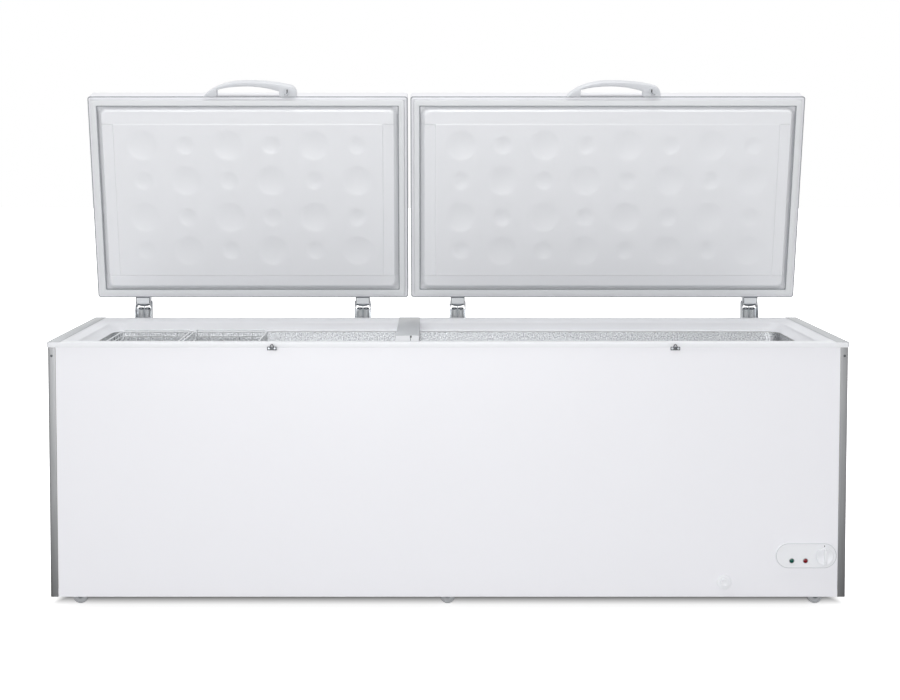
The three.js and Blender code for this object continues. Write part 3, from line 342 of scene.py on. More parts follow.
# Brushed stainless: a long vertical grain of about 0.8 mm, drawn coarser than the real 0.1 mm so that
# it shows, and a sheen that spreads across the grain.
stainless = material("brushed_stainless", "guard_steel", "#B4B6B9", 0.38, 1.0)
texture(
    stainless, "Noise", (0.8, 0.8, 90), relief=(0.03, 0.4), gloss=(0.3, 0.46), tints=("#8E8F91", "#ABACAE"),
    Detail=3.0,
)

# Bright zinc plate with a clear passivate, as on screws and hinges: cool grey with a fine mottle.
zinc = material("bright_zinc_plate", "zinc_plated_steel", "#C3C7CB", 0.3, 1.0)
texture(zinc, "Noise", 5, gloss=(0.22, 0.42), tints=("#9EA3A8", "#D5D8DB"), Detail=4.0)

# Black-oxide screws: dark satin steel.
oxide = material("black_oxide_screw", "zinc_plated_steel", "#56585B", 0.4, 1.0)


def screw(place, axis, radius=4.0, rise=1.1):
    """A pan-head screw: a domed head spun about its axis, with a shallow round socket in it."""
    socket = radius * 0.4
    profile = [
        (radius, -0.4), (radius, rise * 0.35), (radius * 0.86, rise * 0.8), (radius * 0.6, rise),
        (socket, rise), (socket * 0.8, rise * 0.25),
    ]
    return turned(profile, place, axis, 16)


GUARD_RADIUS = 6.0
GUARD_SHEET = 1.2
GUARD_HEM = 2.5  # the guard's free edges are folded back under to this thickness
SCREW_DROP = 21.0
UNDER_LIP = 2.5  # the sheet runs on behind the rim's lip
for side, sign in (("left", -1), ("right", 1)):
    low, high = span(f"{side}_corner_guard")
    outer = high[0] if sign > 0 else low[0]
    inner = low[0] if sign > 0 else high[0]
    front, back = low[1], high[1]
    outline = [
        (inner, front + GUARD_HEM), (inner, front), (outer, front), (outer, back),
        (outer - sign * GUARD_HEM, back), (outer - sign * GUARD_SHEET, back - 3 * GUARD_HEM),
        (outer - sign * GUARD_SHEET, front + GUARD_SHEET),
        (inner + sign * 3 * GUARD_HEM, front + GUARD_SHEET),
    ]
    bend = soften(outline, [0.9, 0.9, GUARD_RADIUS, 0.9, 0.9, 0.5, GUARD_RADIUS - GUARD_SHEET, 0.5], 6)
    top = high[2] + UNDER_LIP
    heights = [low[2], low[2] + 0.6, top - 0.6, top]
    build(
        f"{side}_guard", [solid(rise(bend, heights))], stainless, "cabinet", [f"{side}_corner_guard"],
        sharp=30,
    )
    head = screw(((inner + outer) / 2, front, high[2] - SCREW_DROP), (0, -1, 0), 3.6, 0.8)
    build(f"{side}_guard_screw", [head], oxide, "cabinet")

# ---- Rim collar ----
# The white moulded frame round the opening: a flat top that the lids close on, a lip that hooks over
# the panels, a bevel and a wall inside, and at its foot the ledge that the baskets hang on.

# Injection-moulded white ABS: satin, with the fine spark-eroded grain of the mould.
MOULD_GRAIN = 1.6
moulded = material("moulded_white_abs", "white_plastic", "#EDEEF1", 0.42, IOR=1.53)
texture(moulded, "Noise", MOULD_GRAIN, relief=(0.06, 0.3), Detail=3.0)
texture(moulded, "Noise", 1000 / 6, gloss=(0.38, 0.5))


def rounded(low, high, radius, steps=10):
    """A rectangle's outline with quarter-circle corners, anticlockwise from its right front one:
    each corner's centre lies one radius inside both sides."""
    radius = max(radius, 0.01)
    low, high = np.asarray(low, float), np.asarray(high, float)
    middle, half = (low + high) / 2, (high - low) / 2 - radius
    angle = np.linspace(-np.pi / 2, 0, steps + 1)
    quarters = []
    for turn, sign in enumerate(np.array([(1, -1), (1, 1), (-1, 1), (-1, -1)])):
        bend = angle + turn * np.pi / 2
        quarters.append(middle + sign * half + radius * np.column_stack([np.cos(bend), np.sin(bend)]))
    return np.vstack(quarters)


def rings(low, high, profile, steps, sideways=None):
    """A grid with a rounded rectangle for each (inset, height, corner radius) of the profile.
    `sideways` gives other insets for the two ends."""
    rows = []
    for index, (inset, z, radius) in enumerate(profile):
        both = np.array([inset if sideways is None else sideways[index], inset])
        outline = rounded(low[:2] + both, high[:2] - both, radius, steps)
        rows.append(points_at(*outline.T, z))
    return np.array(rows)


def framed(low, high, profile, steps=10, sideways=None):
    """A closed section carried round a rectangle: its last ring joins the first again."""
    return patch(rings(low, high, profile, steps, sideways), wrap_rows=True, wrap_columns=True)


def lofted(low, high, profile, steps=6):
    """A solid of stacked rings, the first and the last filled."""
    return solid(rings(low, high, profile, steps))


low, high = span("rim_collar")
RIM_TOP = high[2]
LIP_BOTTOM = RIM_TOP - 15
RIM_FLAT = 38
BEVEL = (60, RIM_TOP - 10)
LEDGE = (80, RIM_TOP - 36)
LEDGE_SHEET = 2.5
POCKET_TOP = RIM_TOP - 3.5
OPENING_CORNER = 45
# The frame's section, as insets from the lip's outer edge and heights.
section = [
    (0, LIP_BOTTOM), (0, RIM_TOP), (RIM_FLAT, RIM_TOP), BEVEL, (BEVEL[0] + 2, LEDGE[1]), LEDGE,
    (LEDGE[0], LEDGE[1] - LEDGE_SHEET), (BEVEL[0] - 3, LEDGE[1] - LEDGE_SHEET), (BEVEL[0] - 3, LIP_BOTTOM),
    (RIM_FLAT - 3, LIP_BOTTOM), (RIM_FLAT - 3, POCKET_TOP), (6, POCKET_TOP), (6, LIP_BOTTOM),
]
section = soften(section, [1, 3, 5, 4, 2, 1, 0.8, 1, 1, 1, 1, 1, 1], 4)
corner = np.interp(section[:, 0], [0, 6, RIM_FLAT - 3], [8, 8, OPENING_CORNER])
behind_wall = (np.abs(section[:, 0] - BEVEL[0] + 3) < 1.5) & (section[:, 1] < LIP_BOTTOM + 2)
corner[behind_wall] = OPENING_CORNER + 3
inner_side = (section[:, 0] > RIM_FLAT - 2) & (section[:, 1] > LEDGE[1] - 0.5)
END_SLOPE = ([0, 12, 34, 36], [RIM_FLAT, 60, 78, LEDGE[0]])  # drop below the top, inset
slanted = np.interp(RIM_TOP - section[:, 1], *END_SLOPE)
slanted += 2 * np.clip((section[:, 0] - BEVEL[0] - 2) / 18, 0, 1) * (slanted > 76) * (slanted < 79)
sideways = np.where(inner_side, np.maximum(slanted, np.minimum(section[:, 0], RIM_FLAT)), section[:, 0])
build(
    "moulded_rim", [framed(low, high, np.column_stack([section, corner]), sideways=sideways)], moulded,
    "cabinet", ["rim_collar"], sharp=30,
)

# ---- Rim strips and divider ----
# Anodised strips lie on the rim's two ends, and a wider one covers the bar between the lid openings,
# whose bare white front end stays visible. The strips are rolled with a fine lengthwise grain.

# Satin anodised aluminium: grey, soft-edged reflections, brushed front to back.
anodised = material("satin_anodised_aluminium", "strip_metal", "#C4C6C8", 0.42, 1.0)
texture(anodised, "Noise", (1.2, 60, 1.2), relief=(0.03, 0.4), gloss=(0.36, 0.5), Detail=3.0)


def bar(low, high, edge=0.3, steps=2):
    """A block with softened edges: its rings are drawn in by `edge` at the top and the bottom."""
    low, high = np.asarray(low, float), np.asarray(high, float)
    levels = [(edge, low[2]), (0, low[2] + edge), (0, high[2] - edge), (edge, high[2])]
    return lofted(low, high, [(inset, z, edge * 1.5) for inset, z in levels], steps)


for name in ("left_rim_strip", "right_rim_strip", "divider_strip"):
    low, high = span(name)
    build(f"{name}_plate", [bar(low, high, 0.25)], anodised, "cabinet", [name])
dress("centre_divider", moulded)

# The strip's front end has a folded tab with a slot that its screw sits in. A dark block in the slot
# paints its shade, and a thin dark line runs back from it along the strip.
# Dark plastic: painted shade in slots and recesses, and the printed setting mark by the knob.
dark = material("painted_recess_shade_and_print", "black_paint", "#2B2D2F", 0.6)
low, high = span("centre_divider")
middle = (low[0] + high[0]) / 2
NOTCH_X, NOTCH_WIDTH, NOTCH_LENGTH = 10.0, 5.0, 52.0
cap_front = span("divider_strip")[0][1]
left = middle + NOTCH_X - NOTCH_WIDTH / 2
slot = bar(
    (left, cap_front - NOTCH_LENGTH, high[2] - 1), (left + NOTCH_WIDTH, cap_front + 1, high[2] + 0.4),
)
tail = bar(
    (middle + NOTCH_X - 0.8, low[1] + 4, high[2] - 1), (middle + NOTCH_X + 0.8, cap_front, high[2] + 0.3),
)
build("divider_notch_painted_shade", [slot, tail], dark, "cabinet")

# ---- Inner liner ----
# The tub is stucco-embossed aluminium sheet, 1 mm, folded and seamed, with a raised step at the right
# end over the compressor. Its corners are rolled to the same radius as the opening's.

# Stucco-embossed aluminium: a random pebble of about 4 mm that breaks reflections into sparkles. Its
# tone follows the pebble, darker in the hollows and paler on the crowns: painted shade and sparkle.
stucco = material("stucco_aluminium", "liner_aluminium", "#A9ACB0", 0.4, 0.8)
texture(stucco, "Noise", 4, relief=(0.8, 0.8), tints=("#74777A", "#C9CBCE"), reach=(0.3, 0.7), Detail=1.0)

low, high = span("inner_liner")
LINER_FLANGE = 15
LINER_SHEET = 1
STEP_X = high[0] - LINER_FLANGE - 233
STEP_TOP = low[2] + LINER_SHEET + 230
liner_low = low[:2] + LINER_FLANGE
liner_high = high[:2] - LINER_FLANGE
liner_floor = low[2] + LINER_SHEET
liner_top = high[2]


def thicken(made, sheet, offset):
    """Gives a surface the thickness of its sheet, behind it (-1) or before it (1)."""
    wall = made.modifiers.new("sheet", "SOLIDIFY")
    wall.thickness, wall.offset = sheet * MM, offset


def tub(low, high, floor, top, corner, step_x, step_top):
    """A tub as a U-shaped section carried from left to right. At x its half depth is that of the
    rounded rectangle, its floor lies at the step's top past step_x, and each end closes upwards."""
    bend = corner * np.sin(np.linspace(np.pi / 2, 0, 10))
    draft = 0.05  # run of the upright riser
    stations = np.concatenate(
        [low[0] + corner - bend, [step_x - draft, step_x], high[0] - corner + bend[::-1]]
    )
    reach = np.maximum(np.maximum(low[0] + corner - stations, stations - high[0] + corner), 0)
    half = (high[1] - low[1]) / 2 - corner + np.sqrt(np.maximum(corner**2 - reach**2, 0))
    base = np.where(stations >= step_x, step_top, floor)
    across = np.array([-1, -1, -1, -1, -0.5, 0, 0.5, 1, 1, 1, 1])
    depth = np.array([0, 0.33, 0.66, 1, 1, 1, 1, 1, 0.66, 0.33, 0])
    sideways = (low[1] + high[1]) / 2 + half[:, None] * across
    grid = points_at(stations[:, None], sideways, top - (top - base)[:, None] * depth)
    lids = grid[[0, -1]].copy()
    lids[..., 2] = top
    return patch(np.concatenate([lids[:1], grid, lids[1:]]))


liner = build(
    "stucco_liner", [tub(liner_low, liner_high, liner_floor, liner_top, OPENING_CORNER, STEP_X, STEP_TOP)],
    stucco, "cabinet", ["inner_liner"], sharp=35, closed=False,
)
thicken(liner, LINER_SHEET, -1)

# ---- Foam, base, coils and compressor ----
# Between liner and panels the cabinet is foamed solid. Under the step sit the compressor and its
# condenser coil, and the evaporator tube winds round the liner inside the foam.

# Rigid polyurethane foam: cream, with open cells of about 2 mm where it is cut.
foam = material("rigid_polyurethane_foam", "insulating_foam", "#E6D6A6", 0.9)
texture(foam, "Voronoi", 2, relief=(0.5, 0.5))
dress("insulation_foam", foam)

# Hot-dip galvanised sheet: spangles of about 12 mm in slightly different greys.
galvanised = material("galvanised_sheet", "base_steel", "#A9AEB2", 0.45, 1.0)
texture(galvanised, "Voronoi", 12, gloss=(0.35, 0.6), output="Color")
dress("base_panel", galvanised)

# Satin black enamel, dipped: soft highlights with a slight sag in the film.
black = material("dipped_black_enamel", "black_paint", "#1A1B1D", 0.38)
texture(black, "Noise", 14, relief=(0.2, 0.3))
for node in ("compressor", "condenser_coil"):
    dress(node, black, 35)

# Drawn copper tube: warm, lightly tarnished in patches.
copper = material("drawn_copper_tube", "copper_tube", "#C58158", 0.3, 1.0)
texture(copper, "Noise", 30, tints=("#A9653F", "#D39A70"), Detail=4.0)
dress("evaporator_coil", copper, 35)

# Moulded polypropylene in grey: dull, with a fine mould grain.
grey_plastic = material("moulded_grey_polypropylene", "grey_plastic", "#55595C", 0.55)
texture(grey_plastic, "Noise", MOULD_GRAIN, relief=(0.06, 0.3))
for node in ("drain_pipe", "thermostat", "cord_gland"):
    dress(node, grey_plastic, 35)

# Self-tapping screws hold the back panel along its top and bottom edges.
low, high = span("back_panel")
BACK_SCREWS, FROM_EDGE, FROM_END = 7, 14, 20
heads = [
    screw((x, high[1], height), (0, 1, 0), 4.2, 1.6)
    for height in (low[2] + FROM_EDGE, high[2] - FROM_EDGE)
    for x in np.linspace(low[0] + FROM_END, high[0] - FROM_END, BACK_SCREWS)
]
build("back_panel_screws", heads, zinc, "cabinet")

# ---- Baskets ----
# Two baskets of spot-welded steel wire dipped in white plastic. Hoops run down the front, along the
# floor and up the back, long wires cross them, and bent rails at both ends hang on the rim's ledge.

# Polyethylene dip coat on wire: white and soft-edged, a little thick at the welds.
coated = material("plastic_dipped_wire", "coated_wire", "#EEF0F2", 0.35)
texture(coated, "Noise", 8, relief=(0.25, 0.4))


def circle(radius, sides=8):
    """A round outline: radius (cos a, sin a)."""
    angle = np.linspace(0, 2 * np.pi, sides, endpoint=False)
    return np.column_stack([np.cos(angle), np.sin(angle)]) * radius


def carry(path, outline, up=(0, 0, 1), closed=False):
    """Carries a flat outline (a, b) along a path: P = path + a side + b over, where side is the
    path's direction crossed with up and over is side crossed with the direction."""
    path = np.asarray(path, float)
    ahead = np.roll(path, -1, 0) - np.roll(path, 1, 0) if closed else np.gradient(path, axis=0)
    ahead /= np.linalg.norm(ahead, axis=1, keepdims=True)
    side = np.cross(ahead, np.asarray(up, float))
    side /= np.linalg.norm(side, axis=1, keepdims=True)
    over = np.cross(side, ahead)
    outline = np.broadcast_to(np.asarray(outline, float), (len(path), *np.shape(outline)[-2:]))
    points = path[:, None] + outline[..., :1] * side[:, None] + outline[..., 1:] * over[:, None]
    return patch(points, wrap_rows=closed, wrap_columns=True, caps=not closed)


SIDES = ("left", "right")
WIRE_PITCH = 43.0
THICK_WIRE, THIN_WIRE = 2.2, 1.7  # radii
BASKET_INSET = 90  # from the rim's outer edge to the basket's front and back
rim_low, rim_high = span("rim_collar")
for side in SIDES:
    low, high = span(f"{side}_wire_basket")
    left, right = low[0] + THICK_WIRE, high[0] - THICK_WIRE
    floor_z = low[2] + THICK_WIRE
    rail_z = LEDGE[1] + THICK_WIRE + 0.3
    front, back = rim_low[1] + BASKET_INSET, rim_high[1] - BASKET_INSET
    hook_front, hook_back = low[1] + THICK_WIRE, high[1] - THICK_WIRE
    top_z = rail_z - 4
    wires = []
    hoops = round((right - left) / WIRE_PITCH)
    for x in np.linspace(left, right, hoops + 1):
        hoop = [(x, front, top_z), (x, front, floor_z), (x, back, floor_z), (x, back, top_z)]
        wires.append(carry(soften(hoop, 14, 5, False), circle(THIN_WIRE), (1, 0, 0)))
    bars = round((back - front - 20) / WIRE_PITCH)
    for y in np.linspace(front + 14, back - 14, bars + 1):
        end = [
            (left - THIN_WIRE, y, top_z), (left - THIN_WIRE, y, floor_z + THIN_WIRE * 2),
            (right + THIN_WIRE, y, floor_z + THIN_WIRE * 2), (right + THIN_WIRE, y, top_z),
        ]
        wires.append(carry(soften(end, 14, 5, False), circle(THIN_WIRE), (0, 1, 0)))
    for height in np.arange(floor_z + WIRE_PITCH, top_z - 10, WIRE_PITCH):
        ring = rounded((left, front + THIN_WIRE), (right, back - THIN_WIRE), 14, 4)
        wires.append(carry(points_at(*ring.T, height), circle(THIN_WIRE), closed=True))
    ring = rounded((left, front), (right, back), 14, 4)
    wires.append(carry(points_at(*ring.T, top_z), circle(THICK_WIRE), closed=True))
    for x in (left + 6, right - 6):
        hook = [
            (x, hook_front, rail_z), (x, front + 4, rail_z), (x, front + 16, top_z - 22),
            (x, back - 16, top_z - 22), (x, back - 4, rail_z), (x, hook_back, rail_z),
        ]
        wires.append(carry(soften(hook, 7, 4, False), circle(THICK_WIRE), (1, 0, 0)))
    for y in (hook_front, hook_back):
        rail = [(left + 6, y, rail_z), (right - 6, y, rail_z)]
        wires.append(carry(rail, circle(THICK_WIRE)))
    build(f"{side}_basket_wires", wires, coated, f"{side}_basket", [f"{side}_wire_basket"], sharp=50)

# ---- Lids: the enamelled shell ----
# Each lid is a shallow pan of enamelled steel, foamed to its liner. Its edges turn in round the
# underside as a narrow frame. The lids are drawn closed and then swung up about the hinge line.

hinge = next(joint for joint in frame["joints"] if joint["name"] == "left_lid_hinge")
PIVOT_Y, PIVOT_Z = (v / MM for v in hinge["pos_m"][1:])
OPENING = math.radians(-hinge["range_deg"][0])


def swing(points, angle):
    """Turns points about the hinge line by an angle, positive opening the lid:
    y' = Y + (y - Y) cos a + (z - Z) sin a and z' = Z - (y - Y) sin a + (z - Z) cos a."""
    y, z = points[..., 1] - PIVOT_Y, points[..., 2] - PIVOT_Z
    turned_points = points.astype(float)
    turned_points[..., 1] = PIVOT_Y + y * math.cos(angle) + z * math.sin(angle)
    turned_points[..., 2] = PIVOT_Z - y * math.sin(angle) + z * math.cos(angle)
    return turned_points


def shut(node):
    """Lowest and highest corner of a lid's CAD node when its lid is shut."""
    vertices = frame["nodes"][node].data.vertices
    points = np.empty(len(vertices) * 3)
    vertices.foreach_get("co", points)
    points = swing(points.reshape(-1, 3) / MM, -OPENING)
    return points.min(0), points.max(0)


def on_lid(side, name, parts, finish, replaced=(), **options):
    """A piece drawn on a shut lid and swung up to where the lid stands at rest, in place of some of
    the lid's own CAD nodes."""
    parts = [(swing(points, OPENING), faces) for points, faces in parts]
    nodes = [f"{side}_lid_{node}" for node in replaced]
    return build(f"{side}_{name}", parts, finish, f"{side}_lid", nodes, **options)


SKIN = 1.2
FRAME = 10.0  # width of the edge that turns in
LID_CORNER = 8.0
TOP_ROUND = 8.0
lids = {side: shut(f"{side}_lid_shell") for side in SIDES}
# Insets and heights of the turned-in edge, with a shallow groove rolled above it.
HEM = [
    (SKIN, SKIN), (FRAME, SKIN), (FRAME, 0), (2.5, 0), (0.7, 0.7), (0, 2.5), (0, 5), (0.8, 5.2), (0.8, 6.6),
    (0, 6.8),
]
quarter = np.linspace(0, np.pi / 2, 6)
for side in SIDES:
    low, high = lids[side]
    inside, outside = (
        [(inset + r * (1 - math.cos(a)), high[2] - TOP_ROUND + r * math.sin(a)) for a in quarter]
        for inset, r in ((SKIN, TOP_ROUND - SKIN), (0, TOP_ROUND))
    )
    profile = inside[::-1] + [(inset, low[2] + z) for inset, z in HEM] + outside
    rows = [(inset, z, max(LID_CORNER - inset, 1.5)) for inset, z in profile]
    on_lid(side, "lid_pan", [lofted(low, high, rows)], enamel, ["shell"], sharp=35)

# ---- Lids: the moulded liner ----
# The underside is a sheet of white polystyrene, vacuum-formed: a sloping plug that stands inside the
# rim, a flat band, and a raised field with two sizes of shallow dishes pressed into it.

# Vacuum-formed polystyrene: satin white with a very slight waviness left by the drawing.
formed = material("vacuum_formed_polystyrene", "white_plastic", "#F4F5F8", 0.38, IOR=1.55)
texture(formed, "Noise", 22, relief=(0.25, 0.35))
texture(formed, "Noise", 200, gloss=(0.33, 0.45))


def inset_of(x, y, low, high, corner):
    """How far a point lies inside a rectangle with rounded corners: the distance to the nearest
    side, less what the corner's circle takes away."""
    dx = np.minimum(x - low[0], high[0] - x)
    dy = np.minimum(y - low[1], high[1] - y)
    near = np.hypot(np.maximum(corner - dx, 0), np.maximum(corner - dy, 0))
    return np.where((dx < corner) & (dy < corner), corner - near, np.minimum(dx, dy))


def smooth(value):
    """Eases from 0 to 1: 3 t^2 - 2 t^3, held outside that range."""
    t = np.clip(value, 0, 1)
    return t * t * (3 - 2 * t)


def lines(start, end, marks, coarse):
    """Grid lines from start to end, about `coarse` apart, with close ones round each mark."""
    plain = np.linspace(start, end, max(2, round((end - start) / coarse)))
    near = np.concatenate([mark + np.array(around, float) for mark, around in marks])
    near = near[(near > start) & (near < end)]
    keep = np.all(np.abs(plain[:, None] - near) > coarse * 0.3, axis=1)
    return np.unique(np.concatenate([plain[keep], near, [start, end]]))


PLUG_INSET, PLUG_RUN, PLUG_DEPTH, PLUG_CORNER = 30.0, 15.0, 14.0, 28.0
FIELD_SIDE, FIELD_FRONT, FIELD_REAR = 77.0, 84.0, 76.0
FIELD_RUN, BAND_STEP, FIELD_STEP = 4.0, 4.0, 3.0
FRONT_BAND = (5.2, 6.3)  # height over the plug's edge at the band's outer and inner edge
LARGE_DISH, SMALL_DISH = (48.5, 3.3), (30.0, 2.5)  # radius and depth
DISH_LIP = 5.0  # width over which a dish's edge rounds into the field
DISH_ROWS = (0.139, 0.367, 0.606, 0.826)  # of the field's depth, from its front
DISH_COLUMNS = {"left": (6, 136.2, 4.0), "right": (8, 132.6, 1.0)}  # count, pitch and shift
FIELD_LINE = 5.5
FORMED_SHEET = 1.5
for side in SIDES:
    low, high = lids[side]
    sheet_z = low[2] + 1.5
    field_low = np.array([low[0] + FIELD_SIDE, low[1] + FIELD_FRONT])
    field_high = np.array([high[0] - FIELD_SIDE, high[1] - FIELD_REAR])
    slope = np.array([-2, 0, 2, PLUG_RUN / 2, PLUG_RUN - 2, PLUG_RUN, PLUG_RUN + 2])
    step = np.array([-1, 0, 1, 2, 3, 4, 5])
    grid = []
    for axis in (0, 1):
        marks = [(low[axis] + PLUG_INSET, slope), (high[axis] - PLUG_INSET, -slope)]
        marks += [(field_low[axis], step), (field_high[axis], -step)]
        start, end = low[axis] + FRAME + 0.4, high[axis] - FRAME - 0.4
        grid.append(lines(start, end, marks, FIELD_LINE))
    x, y = np.meshgrid(*grid)
    plug = inset_of(x, y, low[:2] + PLUG_INSET, high[:2] - PLUG_INSET, PLUG_CORNER)
    falling = smooth((field_high[1] - y) / FIELD_RUN)
    middle = smooth(np.minimum(x - field_low[0], field_high[0] - x) / FIELD_RUN)
    plug_top = low[1] + PLUG_INSET + PLUG_RUN
    tilted = FRONT_BAND[0] + (FRONT_BAND[1] - FRONT_BAND[0]) * (y - plug_top) / (field_low[1] - plug_top)
    inner = smooth((y - field_low[1]) / FIELD_RUN)
    raised = (1 - inner) * tilted + inner * (BAND_STEP + FIELD_STEP * middle) * falling
    height = (PLUG_DEPTH + raised) * np.clip(plug / PLUG_RUN, 0, 1)
    columns, pitch, shift = DISH_COLUMNS[side]
    for row, share in enumerate(DISH_ROWS):
        for column in range(columns):
            centre_x = (field_low[0] + field_high[0]) / 2 + shift + (column - (columns - 1) / 2) * pitch
            centre_y = field_low[1] + share * (field_high[1] - field_low[1])
            radius, depth = LARGE_DISH if (row + column) % 2 == 0 else SMALL_DISH
            away = np.hypot(x - centre_x, y - centre_y)
            ball = (radius**2 + depth**2) / (2 * depth)
            bowl = np.sqrt(np.maximum(ball**2 - np.minimum(away, radius) ** 2, 0)) - ball + depth
            height -= bowl * smooth((radius - away) / DISH_LIP)
    points = points_at(x, y, sheet_z - height)
    underside = on_lid(side, "lid_underside", [patch(points)], formed, ["liner"], sharp=50, closed=False)
    thicken(underside, FORMED_SHEET, 1)

# ---- Lid gaskets ----
# A hollow bellows of soft grey-white vinyl pushed into the seam round each lid, with a magnetic strip
# inside its flat sealing face, welded at mitred corners.

# Plasticised vinyl: dull, slightly grey, with a waxy soft highlight.
vinyl = material("soft_vinyl_gasket", "gasket_rubber", "#ECEEF0", 0.55)
texture(vinyl, "Noise", 40, relief=(0.4, 0.3))
GASKET = (10.8, 27.8)
# Mid-grey vinyl, matt: thin rings that paint the shade at the seams.
seam_shade_grey = material("painted_seam_shade_vinyl", "gasket_rubber", "#A0A3A7", 0.6)
for side in SIDES:
    low, high = lids[side]
    face = shut(f"{side}_lid_gasket")[0][2]
    root = low[2] + 0.2
    a, b = GASKET
    section = [
        (a + 3, root), (a + 3, face + 6.5), (a, face + 5.5), (a, face + 2.0), (a + 1.2, face + 1.2),
        (b - 1.2, face), (b, face + 0.8), (b, face + 5), (b - 3, face + 6), (b - 3, root),
    ]
    section = soften(section, [0.3, 0.5, 0.8, 0.3, 0.3, 0.3, 0.3, 0.8, 0.5, 0.3], 2)
    ring = np.column_stack([section, np.maximum(8 - section[:, 0] / 3, 1)])
    on_lid(side, "gasket", [framed(low, high, ring, 4)], vinyl, ["gasket"], sharp=35)

    # Two thin mid-grey rings paint shade: one at the gasket's root, where it meets the plug, and one round
    # the outside of the pan's hemmed edge.
    root_shade_ring = [
        (b + 0.1, face + 4.5, 3), (b + 3.1, face + 4.5, 3), (b + 3.1, face + 7, 3), (b + 0.1, face + 7, 3),
    ]
    hem_shade_ring = [
        (0.0, low[2] + 0.7, 8), (0.6, low[2], 8), (3.2, low[2] - 0.1, 6), (3.2, low[2] + 1.5, 6),
        (0.0, low[2] + 2.6, 8),
    ]
    on_lid(side, "lid_painted_seam_shade", [framed(low, high, root_shade_ring, 4), framed(low, high, hem_shade_ring, 4)], seam_shade_grey, sharp=35)

# ---- Handles and locks ----
# A white moulded bow is screwed to the front edge of each lid. Its right end widens into a housing
# round a turning barrel lock, with a boss below it that the lock's tongue comes out of.


def bezier(points, steps):
    """A Bezier curve through its end points: the sum of n!/(i!(n-i)!) t^i (1-t)^(n-i) p_i."""
    points = np.asarray(points, float)
    n = len(points) - 1
    t = np.linspace(0, 1, steps)[:, None]
    return sum(math.comb(n, i) * t**i * (1 - t) ** (n - i) * points[i] for i in range(n + 1))


# The handles' ABS is the rim's white darkened to about 0.86 of its brightness: painted shade that keeps
# the brightly lit bows from clipping to white.
shaded_handle_abs = material("handle_white_abs_painted_shade", "white_plastic", "#DDDFE3", 0.36, IOR=1.53)
texture(shaded_handle_abs, "Noise", MOULD_GRAIN, relief=(0.06, 0.3), Detail=3.0)

# The bow's outer line and its inner one over the fingers, as shares of its length and reach.
BOW_OUT = [
    [(0, 0), (0.07, 0.5), (0.22, 1), (0.47, 1)], [(0.47, 1), (0.66, 1), (0.86, 0.86), (0.95, 0.66)],
    [(0.95, 0.66), (1, 0.56), (1, 0)],
]
GRIP_IN = [
    [(0.145, 0.44), (0.22, 0.6), (0.33, 0.69), (0.46, 0.69)],
    [(0.46, 0.69), (0.62, 0.69), (0.74, 0.5), (0.815, 0.35)],
]
BOW_EDGE = 3.2
LOCK_FROM_END = 29.0
LOCK_FROM_LID = 18.6
BOSS = (23.0, 6.0, 4.5)  # half width, height below the lid's frame and overlap on the frame
KEEPER = (13.5, 9.5, 4.0)  # half width, height, and how far it laps up over the lip

# Nickel plate on the lock's barrel: bright, a little worn by keys.
chrome = material("nickel_plated_lock", "zinc_plated_steel", "#B9BCC0", 0.22, 1.0)
texture(chrome, "Noise", 3, gloss=(0.15, 0.35))


